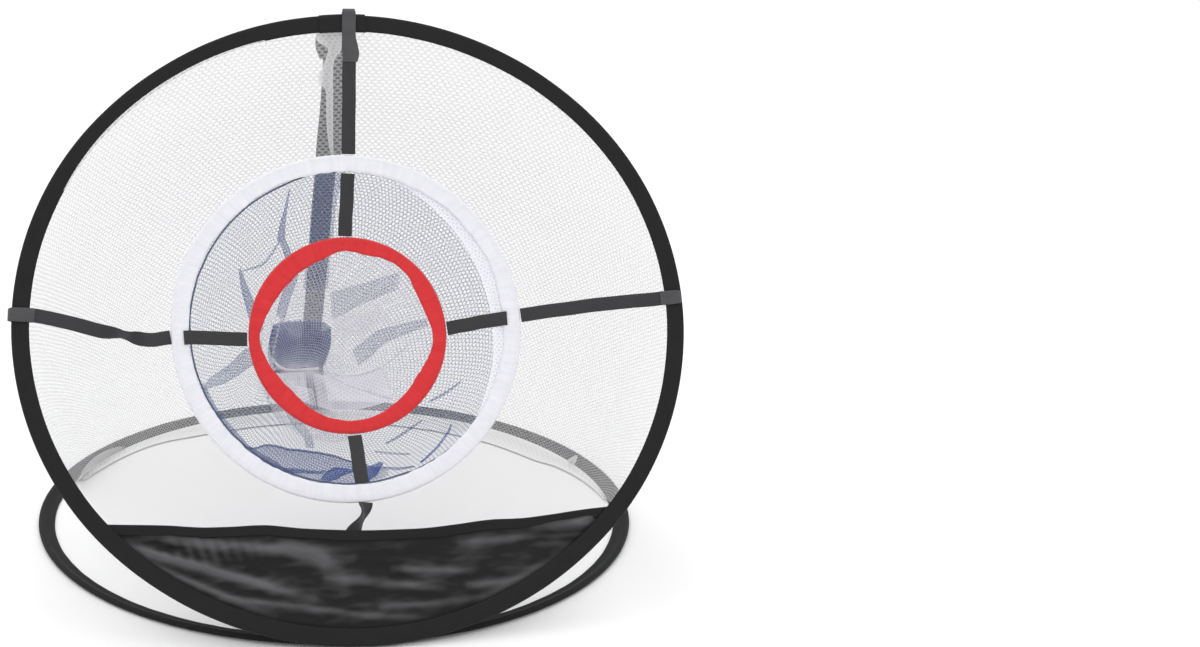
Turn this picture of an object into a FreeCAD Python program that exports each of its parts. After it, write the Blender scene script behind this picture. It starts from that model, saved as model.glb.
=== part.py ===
"""Pop-up golf chipping net: two sprung hoops sewn together at the front, a net wall between them,
and two smaller ringed target bags hung in the front hoop on webbing straps.

Millimetres, +Z up. The origin is on the floor at the centre of the base hoop, +X is to the right
and +Y to the back as the player sees it. Pieces of the front hoop are drawn flat, about that hoop's
own centre with x across, y up and z towards the player, and are then leaned back into place.
"""
import FreeCAD, Part
import math
import os

V = FreeCAD.Vector
ORIGIN = V(0, 0, 0)
Z_AXIS = V(0, 0, 1)

# The two large hoops
front_half_width = 265.0
front_squeeze = 15.0          # the taut net pulls the front hoop this much lower than it is wide
oval_ratio = 1.7              # how far the side arcs' centres lie out, as a share of the squeeze
base_radius = 258.0
lean = 26.8                   # degrees that the front hoop leans back from upright
floor_lift = 0.6              # the front hoop hangs this far clear of the floor
seam_gap = 0.3                # between the two sleeves where they are sewn together
fold_line_back = 1.5          # the fold line lies this far behind the base hoop's outer edge
fold_line_height = 5.6

# The smaller rings, placed from the front hoop's centre
middle_radius = 138.5
middle_centre = V(-3.5, -0.7, -8.0)
inner_radius = 79.2
inner_centre = V(-2.4, -6.1, -18.0)

# Sleeves: a round channel for the wire along the outer edge, and a flat sewn tail inside it
HOOP_SLEEVE = dict(width=14.0, wire=2.5, room=0.8, wall=0.5, tail=1.6, ramp=6.0)
MIDDLE_SLEEVE = dict(width=14.0, wire=2.0, room=0.7, wall=0.5, tail=1.6, ramp=6.0)
INNER_SLEEVE = dict(width=12.6, wire=1.8, room=1.3, wall=0.5, tail=2.2, ramp=5.5)
ferrule_wall = 0.45
ferrule_play = 0.05
ferrule_length = 32.0
joint_wrap = 0.7              # thickness of the patch that closes the front sleeve
joint_play = 0.1
joint_length = 37.0
joint_angle = 89.3            # where it lies on the hoop, counted from +X
joint_gap = 1.5               # between its net side's edge and the foot of the sleeve's ramp

# Webbing
clearance = 0.3               # between sewn pieces that meet
strap_width = 11.0
strap_thickness = 1.2
strap_overlap = 2.0           # how far a strap's end reaches onto a ring before it is trimmed
bottom_strap_x = -7.8         # where the short bottom strap goes down behind the pocket's hem
bottom_strap_tuck = 3.1       # how far it reaches below the hem's upper edge
bottom_strap_twist = 50.0     # degrees that it turns on its way
rear_strap_width = 18.0
rear_strap_drift = 10.0       # how far to the right of the middle the rear strap's foot lies
rear_strap_path = [(0.014, -0.4), (0.45, -0.25), (0.78, -0.3), (0.992, 1.0)]
fold_height = 40.0            # the rear strap's loose end, folded back on itself at the top
fold_start = 9.0              # below the net's sewn edge
fold_bulge = 5.0
fold_eye = 3.2                # from the fold's turn to the eye inside it
tab_count = 3                 # folded tapes that sew the two large hoops together
tab_spacing = 18.0
tab_width = 12.0
tab_thickness = 0.6

# Net and cloth
net_thickness = 1.0
net_inset = 9.0               # from the front hoop's outer edge in to the net's sewn edge
wall_left_end = 71.0          # degrees round the base hoop from the back to the wall's end
wall_right_end = 91.0
wall_back_arc = 30.0          # degrees either side of the back in which the wall follows the top
panel_thickness = 1.0
panel_bulge = 12.0            # crown of the shallow dome that the slack panel follows
panel_tuck = 4.0              # how far the panel reaches behind the sleeve's tail
hem_width = 8.0
hem_thickness = 2.2
hem_left_angle = 222.3        # where the hem's ends meet the hoop, counted from +X
hem_right_angle = 315.3
hem_end_inset = 17.4          # from the hoop's outer edge in to the hem's ends
hem_sag = 10.0

# Bags of net, sewn behind the tails of the two rings
middle_bag_depth = 138.0
middle_bag_drop = 26.0        # how much lower than its mouth a bag's closed end hangs
inner_bag_depth = 96.0
inner_bag_drop = 17.0
BAG_PROFILE = [(0, 0, 1.0), (0.2, 0.07, 0.96), (0.52, 0.35, 0.8), (0.83, 0.75, 0.5), (1, 1, 0.22)]
bag_tuck = 3.0                # how far a bag's mouth reaches behind its ring's tail
binding_diameter = 1.4

# Worked out from these
front_half_height = front_half_width - front_squeeze


def bulge(size):
    """Half the thickness of a sleeve at its wire."""
    return size["wire"] / 2 + size["room"] + size["wall"]


hoop_bulge = bulge(HOOP_SLEEVE)
ramp_foot = hoop_bulge + HOOP_SLEEVE["ramp"]
tail_back_z = hoop_bulge - HOOP_SLEEVE["tail"]
sewn_z = hoop_bulge - HOOP_SLEEVE["tail"] / 2
net_foot_radius = base_radius - HOOP_SLEEVE["width"] - clearance
top_lining = joint_play + joint_wrap
front_seam_y = -(base_radius + seam_gap + hoop_bulge)
front_seam_z = hoop_bulge + floor_lift
fold_y = -(base_radius - fold_line_back)
up_y = math.sin(math.radians(lean))
up_z = math.cos(math.radians(lean))
seam_to_centre = front_half_height - hoop_bulge
FRONT = FreeCAD.Placement(
    V(0, front_seam_y + seam_to_centre * up_y, front_seam_z + seam_to_centre * up_z),
    FreeCAD.Rotation(V(1, 0, 0), 90 - lean),
)


def on_circle(radius, degrees, centre=ORIGIN):
    angle = math.radians(degrees)
    return centre + V(radius * math.cos(angle), radius * math.sin(angle), 0)


def circle_arcs(radius):
    """One full turn, in the form that oval_arcs gives."""
    return [(ORIGIN, radius, 0, 360)]


def oval_arcs(half_width, squeeze):
    """Four tangent arcs of an oval: centre, radius, start and sweep in degrees."""
    side = oval_ratio * squeeze
    slack = side - squeeze
    lift = (side ** 2 - slack ** 2) / (2 * slack)
    split = math.degrees(math.atan2(lift, side))
    side_radius = half_width - side
    top_radius = half_width - squeeze + lift
    return [
        (V(side, 0, 0), side_radius, -split, 2 * split),
        (V(0, -lift, 0), top_radius, split, 180 - 2 * split),
        (V(-side, 0, 0), side_radius, 180 - split, 2 * split),
        (V(0, lift, 0), top_radius, 180 + split, 180 - 2 * split),
    ]


FRONT_ARCS = oval_arcs(front_half_width, front_squeeze)
BASE_ARCS = circle_arcs(base_radius)
MIDDLE_ARCS = circle_arcs(middle_radius)
INNER_ARCS = circle_arcs(inner_radius)


def front_arc_at(degrees):
    """The arc of the front hoop whose normals take in this direction."""
    for centre, radius, start, sweep in FRONT_ARCS:
        if (degrees - start) % 360 <= sweep:
            return centre, radius
    return FRONT_ARCS[0][:2]


def front_point(degrees, inset=0.0):
    centre, radius = front_arc_at(degrees)
    return on_circle(radius - inset, degrees, centre)


hem_left = front_point(hem_left_angle, hem_end_inset)
hem_right = front_point(hem_right_angle, hem_end_inset)
hem_middle = (hem_left + hem_right) * 0.5 - V(0, hem_sag, 0)


def flat_face(points, arcs=()):
    """A face from corner points. arcs maps a side's number to a point that its arc passes through."""
    bent = dict(arcs)
    edges = []
    for i, start in enumerate(points):
        end = points[(i + 1) % len(points)]
        if i in bent:
            edges.append(Part.Arc(start, bent[i], end).toShape())
        else:
            edges.append(Part.LineSegment(start, end).toShape())
    return Part.Face(Part.Wire(edges))


def disc(centre, radius, normal):
    return Part.Face(Part.Wire(Part.makeCircle(radius, centre, normal)))


def ramp_line(size):
    """Ends of a sleeve's ramp, as distances in from the outer edge and out from the middle."""
    half = bulge(size)
    foot = (half + size["ramp"], size["tail"] - half)
    reach = math.hypot(size["ramp"], foot[1])
    angle = math.atan2(foot[1], -size["ramp"]) % (2 * math.pi) - math.acos(half / reach)
    return foot, (half * (1 - math.cos(angle)), half * math.sin(angle))


def sleeve_outline(edge_radius, size, flat_side):
    """Section of a sleeve in the XZ plane: round at the wire, then a ramp down to a flat tail.
    flat_side is -1 or 1, the side in z on which the section lies flat."""
    half = bulge(size)
    tail_x = edge_radius - size["width"]
    foot, touch = [V(edge_radius - inset, 0, out) for inset, out in ramp_line(size)]
    wire_bottom = V(edge_radius - half, 0, -half)
    points = [wire_bottom, touch, foot, V(tail_x, 0, foot.z), V(tail_x, 0, -half)]
    through = V(edge_radius, 0, 0)
    if flat_side > 0:
        points = [V(p.x, 0, -p.z) for p in points]
    return flat_face(points, [(0, through)])


def follow(arcs, section):
    """The solid that a section makes along a chain of arcs. section(radius) is drawn at +X."""
    solid = None
    for centre, radius, start, sweep in arcs:
        span = section(radius).revolve(ORIGIN, Z_AXIS, sweep)
        span.rotate(ORIGIN, Z_AXIS, start)
        span.translate(centre)
        solid = span if solid is None else solid.fuse(span)
    return solid


def sleeve(arcs, size, flat_side):
    channel = size["wire"] / 2 + size["room"]

    def section(radius):
        hole = disc(V(radius - bulge(size), 0, 0), channel, V(0, 1, 0))
        return sleeve_outline(radius, size, flat_side).cut(hole)

    return follow(arcs, section)


def wire_hoop(arcs, size):
    def section(radius):
        return disc(V(radius - bulge(size), 0, 0), size["wire"] / 2, V(0, 1, 0))

    return follow(arcs, section)


def ferrule(centre, radius, degrees, size):
    """The crimped tube that joins the two ends of a hoop's wire."""
    bore = size["wire"] / 2 + ferrule_play
    at = V(radius - bulge(size), 0, 0)
    ring = disc(at, bore + ferrule_wall, V(0, 1, 0)).cut(disc(at, bore, V(0, 1, 0)))
    sweep = math.degrees(ferrule_length / at.x)
    tube = ring.revolve(ORIGIN, Z_AXIS, sweep)
    tube.rotate(ORIGIN, Z_AXIS, degrees - sweep / 2)
    tube.translate(centre)
    return tube


def front_sleeve_joint():
    """A patch folded over the front sleeve where its two ends meet, open where the net is sewn on."""
    centre, radius = front_arc_at(joint_angle)
    outline = sleeve_outline(radius, HOOP_SLEEVE, 1).OuterWire
    inside = Part.Face(outline.makeOffset2D(joint_play))
    outside = Part.Face(outline.makeOffset2D(joint_play + joint_wrap))
    corner = V(radius - ramp_foot + joint_gap, 0, tail_back_z)
    net_side = Part.makePlane(radius, radius, corner, V(0, 1, 0))
    net_side.rotate(corner, V(0, 1, 0), 180)
    sweep = math.degrees(joint_length / radius)
    wrap = outside.cut(inside).cut(net_side).revolve(ORIGIN, Z_AXIS, sweep)
    wrap.rotate(ORIGIN, Z_AXIS, joint_angle - sweep / 2)
    wrap.translate(centre)
    return wrap


def strap_loop(degrees, slack, reach, lining=0.0):
    """A strap's end, turned round the front sleeve and sewn back on itself.
    slack is its play at the outer edge, reach how far the sewn double end goes past the inner edge,
    and lining the thickness of anything wrapped on the sleeve under it."""
    play = clearance + lining
    half = hoop_bulge + play
    tail = HOOP_SLEEVE["width"] + play
    turn_x = max(slack, play) - half
    hole = flat_face(
        [
            V(turn_x, 0, -half),
            V(turn_x, 0, half),
            V(-tail, 0, half),
            V(-tail - strap_thickness - clearance, 0, sewn_z),
            V(-tail, 0, tail_back_z - play),
            V(-ramp_foot, 0, tail_back_z - play),
            V(-hoop_bulge - 2 * play, 0, -half),
        ],
        [(0, V(turn_x + half, 0, 0))],
    )
    band = Part.Face(hole.OuterWire.makeOffset2D(strap_thickness)).cut(hole)
    loop = band.extrude(V(0, strap_width, 0))
    inner_end = HOOP_SLEEVE["width"] + reach
    length = inner_end - tail - strap_thickness
    corner = V(-inner_end, 0, sewn_z - strap_thickness)
    loop = loop.fuse(Part.makeBox(length, strap_width, 2 * strap_thickness, corner))
    return on_front_hoop(loop, degrees)


def on_front_hoop(shape, degrees):
    """Turns a shape that is drawn at +X with y from 0 to strap_width, and puts it on the hoop."""
    shape.translate(V(0, -strap_width / 2, 0))
    shape.rotate(ORIGIN, Z_AXIS, degrees)
    shape.translate(front_point(degrees))
    return shape


def loop_zone(degrees, reach):
    """The space taken up by a strap's loop, to trim the strap that goes on from its sewn end."""
    inner_end = HOOP_SLEEVE["width"] + reach
    corner = V(-inner_end, -strap_width, -inner_end)
    return on_front_hoop(Part.makeBox(2 * inner_end, 3 * strap_width, 2 * inner_end, corner), degrees)


def loop_end(degrees, reach):
    """Middle of the sewn end of a strap's loop."""
    return front_point(degrees, HOOP_SLEEVE["width"] + reach) + V(0, 0, sewn_z)


def net_slot(degrees, lining=0.0):
    """The slit in the net's sewn edge through which a strap's loop passes."""
    low = tail_back_z - lining - strap_thickness - 2 * clearance
    size = [HOOP_SLEEVE["width"], strap_width + 2 * clearance, tail_back_z - low]
    corner = V(net_thickness - net_inset - size[0], -clearance, low)
    return on_front_hoop(Part.makeBox(*size, corner), degrees)


def strip(start, end, width, thickness, start_normal, end_normal):
    """A flat strap from start to end, that turns from one face direction to the other."""
    along = (end - start).normalize()

    def section(at, normal):
        across = along.cross(normal).normalize()
        face = across.cross(along).normalize()
        corners = [(-1, -1), (1, -1), (1, 1), (-1, 1)]
        points = [at + across * (width / 2 * a) + face * (thickness / 2 * b) for a, b in corners]
        return Part.makePolygon(points + points[:1])

    return Part.makeLoft([section(start, start_normal), section(end, end_normal)], True, True)


def ring_zone(centre, radius):
    """A cylinder about a ring's axis, to trim the straps that meet the ring."""
    return Part.makeCylinder(radius, 2 * radius, centre - V(0, 0, radius), Z_AXIS)


top_loop_slack = 2.8
top_loop_reach = 25.0
left_loop_slack = 4.3
right_loop_slack = 1.0
side_loop_reach = 4.0
OUTER_STRAPS = {
    # name: angle of its loop on the hoop, slack, reach, and the direction of its end on the ring
    "top": (88.2, top_loop_slack, top_loop_reach, 86.9),
    "left": (176.0, left_loop_slack, side_loop_reach, 182.4),
    "right": (3.2, right_loop_slack, side_loop_reach, 1.2),
}
INNER_STRAPS = {
    # name: direction of its end on the middle ring, and on the inner ring
    "top": (87.0, 89.0),
    "left": (182.5, 182.0),
    "right": (-1.4, 1.5),
    "bottom": (-87.2, -88.8),
}
bottom_strap_foot = V(bottom_strap_x, hem_middle.y - bottom_strap_tuck, 0)
middle_strap_z = bulge(MIDDLE_SLEEVE) - MIDDLE_SLEEVE["tail"] / 2
inner_strap_z = bulge(INNER_SLEEVE) - INNER_SLEEVE["tail"] / 2


def outer_strap(name):
    degrees, _, reach, ring_degrees = OUTER_STRAPS[name]
    start = loop_end(degrees, reach)
    end = on_circle(middle_radius - strap_overlap, ring_degrees, middle_centre) + V(0, 0, middle_strap_z)
    start += (start - end).normalize() * strap_width / 2
    strap = strip(start, end, strap_width, strap_thickness, Z_AXIS, Z_AXIS)
    strap = strap.cut(loop_zone(degrees, reach))
    return strap.cut(ring_zone(middle_centre, middle_radius + clearance))


def bottom_strap():
    """From the middle ring down to the back of the pocket's hem."""
    start = on_circle(middle_radius - strap_overlap, -85.0, middle_centre) + V(0, 0, middle_strap_z)
    drop = dome_height(bottom_strap_foot) - clearance - strap_thickness
    end = V(bottom_strap_foot.x, bottom_strap_foot.y, drop)
    angle = math.radians(bottom_strap_twist)
    twisted = V(math.sin(angle), 0, math.cos(angle))
    strap = strip(start, end, strap_width, strap_thickness, twisted, Z_AXIS)
    return strap.cut(ring_zone(middle_centre, middle_radius + clearance))


def inner_strap(name):
    outer_degrees, inner_degrees = INNER_STRAPS[name]
    tail_edge = middle_radius - MIDDLE_SLEEVE["width"]
    start = on_circle(tail_edge + strap_overlap, outer_degrees, middle_centre) + V(0, 0, middle_strap_z)
    end = on_circle(inner_radius - strap_overlap, inner_degrees, inner_centre) + V(0, 0, inner_strap_z)
    strap = strip(start, end, strap_width, strap_thickness, Z_AXIS, Z_AXIS)
    inside_binding = tail_edge - 2 * clearance - binding_diameter
    strap = strap.common(ring_zone(middle_centre, inside_binding))
    return strap.cut(ring_zone(inner_centre, inner_radius + clearance))


def bag(centre, radius, size, whole_depth, whole_drop):
    """An open bag of net, sewn behind its ring's tail and sagging towards its closed end.
    BAG_PROFILE gives shares of its depth, of its drop and of its mouth's radius."""
    mouth = radius - size["width"] + bag_tuck
    front = bulge(size) - size["tail"] - clearance

    def cup(shrink, start, end):
        rings = []
        for depth, drop, share in BAG_PROFILE:
            at = centre + V(0, -drop * whole_drop, front - depth * whole_depth)
            if depth == 0:
                at.z += start
            if depth == 1:
                at.z += end
            rings.append(Part.Wire(Part.makeCircle(mouth * share - shrink, at, Z_AXIS)))
        return Part.makeLoft(rings, True)

    return cup(0.0, 0.0, 0.0).cut(cup(net_thickness, net_thickness, net_thickness))


def binding():
    """The cord of rolled net along the inner edge of the middle ring."""
    radius = middle_radius - MIDDLE_SLEEVE["width"] - clearance - binding_diameter / 2
    at = middle_centre + V(0, 0, bulge(MIDDLE_SLEEVE) - binding_diameter / 2)
    return Part.makeTorus(radius, binding_diameter / 2, at, Z_AXIS)


dome_foot = front_half_height - HOOP_SLEEVE["width"]
dome_radius = (dome_foot ** 2 + panel_bulge ** 2) / (2 * panel_bulge)
panel_front_z = tail_back_z - clearance


def dome_height(point):
    """How far forward the back of the panel stands at a point of the hoop's plane."""
    centre_z = panel_front_z - panel_thickness + panel_bulge - dome_radius
    return centre_z + math.sqrt(dome_radius ** 2 - point.x ** 2 - point.y ** 2)


def dome_shell(thickness):
    """The shell that cloth of this thickness follows in front of dome_height."""
    centre = V(0, 0, panel_front_z - panel_thickness + panel_bulge - dome_radius)
    ball = Part.makeSphere(dome_radius + thickness, centre)
    return ball.cut(Part.makeSphere(dome_radius, centre))


def below_hem(shift):
    """A block of the space below the hem's curve, moved along the hoop's plane by shift."""
    drop = V(0, shift, 0)
    deep = V(0, -front_half_width, 0)
    wide = V(front_half_width, 0, 0)
    left, middle, right = hem_left + drop, hem_middle + drop, hem_right + drop
    slope = (hem_right - hem_left) * 0.5
    face = flat_face(
        [left, right, right + slope, right + deep + wide, left + deep - wide, left - slope],
        [(0, middle)],
    )
    face.translate(V(0, 0, -front_half_width / 2))
    return face.extrude(V(0, 0, front_half_width))


def inside_sleeve(inset):
    """A block of the space inside the front hoop, inset from its outer edge."""
    edges = []
    for centre, radius, start, sweep in FRONT_ARCS:
        ends = [on_circle(radius - inset, start + sweep * k / 2, centre) for k in range(3)]
        edges.append(Part.Arc(*ends).toShape())
    face = Part.Face(Part.Wire(edges))
    face.translate(V(0, 0, -front_half_width / 2))
    return face.extrude(V(0, 0, front_half_width))


def pocket_panel():
    outline = below_hem(-hem_width).common(inside_sleeve(HOOP_SLEEVE["width"] - panel_tuck))
    return dome_shell(panel_thickness).common(outline)


def pocket_hem():
    """The doubled edge along the top of the panel."""
    outline = below_hem(0).cut(below_hem(-hem_width))
    inside = inside_sleeve(HOOP_SLEEVE["width"] + clearance)
    return dome_shell(hem_thickness).common(outline.common(inside))


def net_wall():
    """The net from the front hoop's tail, round the back, to the base hoop's tail."""
    head_z = tail_back_z - clearance
    left_corner = math.degrees(math.atan2(hem_left.y, hem_left.x)) % 360
    right_corner = math.degrees(math.atan2(hem_right.y, hem_right.x))
    _, _, split, top_sweep = FRONT_ARCS[1]
    head_angles = [left_corner, split + top_sweep, split, right_corner]
    foot_angles = [90 + wall_left_end, 90 + wall_back_arc, 90 - wall_back_arc, 90 - wall_right_end]

    def arcs_between(angles, point):
        edges = []
        for a, b in zip(angles, angles[1:]):
            side = (a + b) / 2
            centre, radius = point(side)
            edges.append(
                Part.Arc(
                    on_circle(radius, a, centre),
                    on_circle(radius, side, centre),
                    on_circle(radius, b, centre),
                ).toShape()
            )
        return edges

    def crescent(angles, point):
        outer = arcs_between(angles, lambda a: point(a, 0.0))
        inner = arcs_between(angles[::-1], lambda a: point(a, net_thickness))
        first = Part.LineSegment(outer[-1].Vertexes[-1].Point, inner[0].Vertexes[0].Point)
        last = Part.LineSegment(inner[-1].Vertexes[-1].Point, outer[0].Vertexes[0].Point)
        return Part.Wire(outer + [first.toShape()] + inner + [last.toShape()])

    def foot(degrees, inset):
        return V(0, 0, clearance), net_foot_radius - inset

    def head(degrees, inset):
        centre, radius = front_arc_at(degrees)
        return centre + V(0, 0, head_z), radius - net_inset - inset

    head_wire = crescent(head_angles, head)
    head_wire.Placement = FRONT
    return Part.makeLoft([crescent(foot_angles, foot), head_wire], True, True)


def fold_half(side):
    """All the space above (side 1) or below (side -1) the plane halfway between the hoops."""
    size = 4 * base_radius
    block = Part.makeBox(size, size, size)
    block.translate(V(-size / 2, -size / 4, clearance / 2 if side > 0 else -size - clearance / 2))
    block.rotate(ORIGIN, V(1, 0, 0), (90 - lean) / 2)
    block.translate(V(0, fold_y, fold_line_height))
    return block


def rear_strap():
    """The webbing spine down the outside of the net wall."""
    head = FRONT.multVec(front_point(90, net_inset))
    foot = V(0, net_foot_radius, clearance)
    along = foot - head
    outward = V(0, -along.z, along.y).normalize()
    lift = outward * (clearance + strap_thickness / 2)
    sections = []
    for share, drift in rear_strap_path:
        at = head + along * share + lift + V(drift * rear_strap_drift, 0, 0)
        half_width = V(rear_strap_width / 2, 0, 0)
        half_thick = outward * (strap_thickness / 2)
        corners = [
            at - half_width - half_thick,
            at + half_width - half_thick,
            at + half_width + half_thick,
            at - half_width + half_thick,
        ]
        sections.append(Part.makePolygon(corners + corners[:1]))
    return Part.makeLoft(sections, True, True)


def rear_strap_fold():
    head = FRONT.multVec(front_point(90, net_inset))
    foot = V(0, net_foot_radius, clearance)
    along = (foot - head).normalize()
    outward = V(0, -along.z, along.y)
    near = clearance * 2 + strap_thickness
    doubled = 2 * strap_thickness
    path = [(fold_start, near), (fold_height * 0.6, near), (fold_height, near + fold_bulge * 0.6)]
    back = [(fold_height * 0.75, near + fold_bulge), (fold_start + doubled, near + doubled)]
    points = [head + along * a + outward * b for a, b in path + back]
    drift = rear_strap_path[0][1] * rear_strap_drift
    shift = V(drift - rear_strap_width / 2, 0, 0)
    outline = Part.makePolygon([p + shift for p in points] + [points[0] + shift])
    inside = Part.makePolygon(
        [
            points[1] + shift - along * fold_eye + outward * strap_thickness,
            points[2] + shift - along * fold_eye,
            points[3] + shift - along * strap_thickness - outward * strap_thickness,
            points[1] + shift - along * fold_eye + outward * strap_thickness,
        ]
    )
    face = Part.Face(outline).cut(Part.Face(inside))
    return face.extrude(V(rear_strap_width, 0, 0))


def offset_line(a, b, lift):
    """A line's start and direction in the YZ plane, moved sideways to its left by lift."""
    along = (b - a).normalize()
    return a + V(0, -along.z, along.y) * lift, along


def crossing(line_a, line_b):
    (a, along_a), (b, along_b) = line_a, line_b
    gap = b - a
    turn = along_a.y * along_b.z - along_a.z * along_b.y
    return a + along_a * ((gap.y * along_b.z - gap.z * along_b.y) / turn)


def fold_tab(middle):
    """A tape in the crook between the two sleeves, sewn down on the ramp of each."""
    bottom_centre, bottom_radius = front_arc_at(270)
    foot, touch = ramp_line(HOOP_SLEEVE)

    def on_base(x, spot):
        inset, out = spot
        return V(x, -math.sqrt((base_radius - inset) ** 2 - x ** 2), hoop_bulge + out)

    def on_front(x, spot):
        inset, out = spot
        y = bottom_centre.y - math.sqrt((bottom_radius - inset) ** 2 - x ** 2)
        return FRONT.multVec(V(x, y, -out))

    def face_points(x, lift):
        base_line = offset_line(on_base(x, touch), on_base(x, foot), lift)
        front_line = offset_line(on_front(x, foot), on_front(x, touch), lift)
        over_wire = (V(x, 0, 2 * hoop_bulge + lift), V(0, 1, 0))
        base_end = offset_line(on_base(x, foot), on_base(x, touch), -lift)[0]
        return [front_line[0], crossing(front_line, over_wire), crossing(over_wire, base_line), base_end]

    def section(x):
        points = face_points(x, clearance) + face_points(x, clearance + tab_thickness)[::-1]
        return Part.makePolygon(points + points[:1])

    half = tab_width / 2
    return Part.makeLoft([section(middle - half), section(middle), section(middle + half)], True, True)


def fold_tabs():
    first = -(tab_count - 1) / 2 * tab_spacing
    return Part.makeCompound([fold_tab(first + i * tab_spacing) for i in range(tab_count)])


def main():
    base_parts = {
        "base_hoop_wire": wire_hoop(BASE_ARCS, HOOP_SLEEVE),
        "base_hoop_ferrule": ferrule(ORIGIN, base_radius, 90, HOOP_SLEEVE),
        "base_hoop_sleeve": sleeve(BASE_ARCS, HOOP_SLEEVE, -1),
    }
    for part in base_parts.values():
        part.translate(V(0, 0, hoop_bulge))
    base_parts["hinge_tabs"] = fold_tabs()
    wall, spine = net_wall(), rear_strap()
    for name, (degrees, *_) in OUTER_STRAPS.items():
        slot = net_slot(degrees, top_lining if name == "top" else 0.0)
        slot.Placement = FRONT.multiply(slot.Placement)
        wall = wall.cut(slot)
    for name, side in (("upper", 1), ("lower", -1)):
        base_parts["net_wall_" + name] = wall.common(fold_half(side))
        base_parts["rear_strap_" + name] = spine.common(fold_half(side))
    base_parts["rear_strap_fold"] = rear_strap_fold()

    top_centre, top_radius = front_arc_at(joint_angle)
    front_parts = {
        "front_hoop_wire": wire_hoop(FRONT_ARCS, HOOP_SLEEVE),
        "front_hoop_ferrule": ferrule(top_centre, top_radius, joint_angle, HOOP_SLEEVE),
        "front_hoop_sleeve": sleeve(FRONT_ARCS, HOOP_SLEEVE, 1),
        "front_sleeve_joint": front_sleeve_joint(),
        "pocket_panel": pocket_panel(),
        "pocket_hem": pocket_hem(),
        "outer_strap_bottom": bottom_strap(),
        "middle_bag_net": bag(
            middle_centre, middle_radius, MIDDLE_SLEEVE, middle_bag_depth, middle_bag_drop
        ),
        "middle_bag_binding": binding(),
        "inner_bag_net": bag(
            inner_centre, inner_radius, INNER_SLEEVE, inner_bag_depth, inner_bag_drop
        ),
    }
    for name, (degrees, slack, reach, _) in OUTER_STRAPS.items():
        lining = top_lining if name == "top" else 0.0
        front_parts["strap_loop_" + name] = strap_loop(degrees, slack, reach, lining)
        front_parts["outer_strap_" + name] = outer_strap(name)
    for name in INNER_STRAPS:
        front_parts["inner_strap_" + name] = inner_strap(name)
    rings = {
        "middle_ring": (middle_centre, MIDDLE_ARCS, MIDDLE_SLEEVE),
        "inner_ring": (inner_centre, INNER_ARCS, INNER_SLEEVE),
    }
    for name, (centre, arcs, size) in rings.items():
        ring = {
            name + "_wire": wire_hoop(arcs, size),
            name + "_ferrule": ferrule(ORIGIN, arcs[0][1], -90, size),
            name + "_sleeve": sleeve(arcs, size, 1),
        }
        for part in ring.values():
            part.translate(centre)
        front_parts.update(ring)
    for part in front_parts.values():
        part.Placement = FRONT.multiply(part.Placement)

    os.makedirs("parts", exist_ok=True)
    for name, part in {**base_parts, **front_parts}.items():
        part.exportStep("parts/" + name + ".step")
        print(name, "solids", len(part.Solids), "valid", part.isValid(), "mm3", round(part.Volume))


main()
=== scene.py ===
# %% [markdown]
# A pop-up golf chipping net. Two sprung hoops are sewn together at the front and open like a jaw.
# A white net runs round the back between them, a black cloth pocket closes the bottom of the front
# hoop, and two smaller rings with net bags hang in it on webbing straps.
# The wires are rigid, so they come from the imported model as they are. Everything that is cloth, net
# or webbing is made here as what it is, in the place that its plain solid holds.

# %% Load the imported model
import math

import bpy
from mathutils import Matrix, Vector, noise


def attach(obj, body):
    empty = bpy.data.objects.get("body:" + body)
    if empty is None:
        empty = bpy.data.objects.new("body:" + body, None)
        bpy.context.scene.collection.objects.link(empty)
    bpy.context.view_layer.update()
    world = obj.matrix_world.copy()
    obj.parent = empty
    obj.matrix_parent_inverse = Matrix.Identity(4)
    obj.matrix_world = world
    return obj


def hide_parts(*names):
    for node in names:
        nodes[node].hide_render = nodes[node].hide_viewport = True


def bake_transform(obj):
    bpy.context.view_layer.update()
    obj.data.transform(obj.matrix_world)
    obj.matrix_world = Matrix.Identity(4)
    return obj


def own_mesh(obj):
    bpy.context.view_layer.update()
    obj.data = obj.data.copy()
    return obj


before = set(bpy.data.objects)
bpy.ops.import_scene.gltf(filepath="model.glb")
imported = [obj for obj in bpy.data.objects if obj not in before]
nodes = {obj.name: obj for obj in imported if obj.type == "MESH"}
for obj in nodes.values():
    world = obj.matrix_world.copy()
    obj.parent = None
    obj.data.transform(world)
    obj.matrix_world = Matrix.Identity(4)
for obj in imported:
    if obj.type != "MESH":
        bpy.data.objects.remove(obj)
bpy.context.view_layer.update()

# %% [markdown]
# The camera comes first, because everything is judged through it. It was found by fitting the two
# hoops: the base is a circle of 258 mm and the front an oval of 265 by 250 mm. The view looks down
# 18.9 degrees from 6 degrees to the left, and it is shifted because the product stands left of
# the middle.

# %% Camera
CAMERA_TURN = math.radians(-6.0)
CAMERA_DROP = math.radians(18.9)
CAMERA_PLACE = Vector((-0.173, -1.7725, 0.7839))
CAMERA_LENS = 66.0
CAMERA_SHIFT = 0.209
camera_data = bpy.data.cameras.new("camera")
camera_data.lens = CAMERA_LENS
camera_data.sensor_width = 36.0
camera_data.shift_x = CAMERA_SHIFT
camera = bpy.data.objects.new("camera", camera_data)
bpy.context.scene.collection.objects.link(camera)
bpy.context.scene.camera = camera
back = Vector((
    math.sin(CAMERA_TURN) * math.cos(CAMERA_DROP),
    -math.cos(CAMERA_TURN) * math.cos(CAMERA_DROP),
    math.sin(CAMERA_DROP),
))
camera.location = CAMERA_PLACE
camera.rotation_euler = (-back).to_track_quat("-Z", "Y").to_euler()
print("camera stands", round(CAMERA_PLACE.length, 2), "m from the middle of the base hoop")

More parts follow.
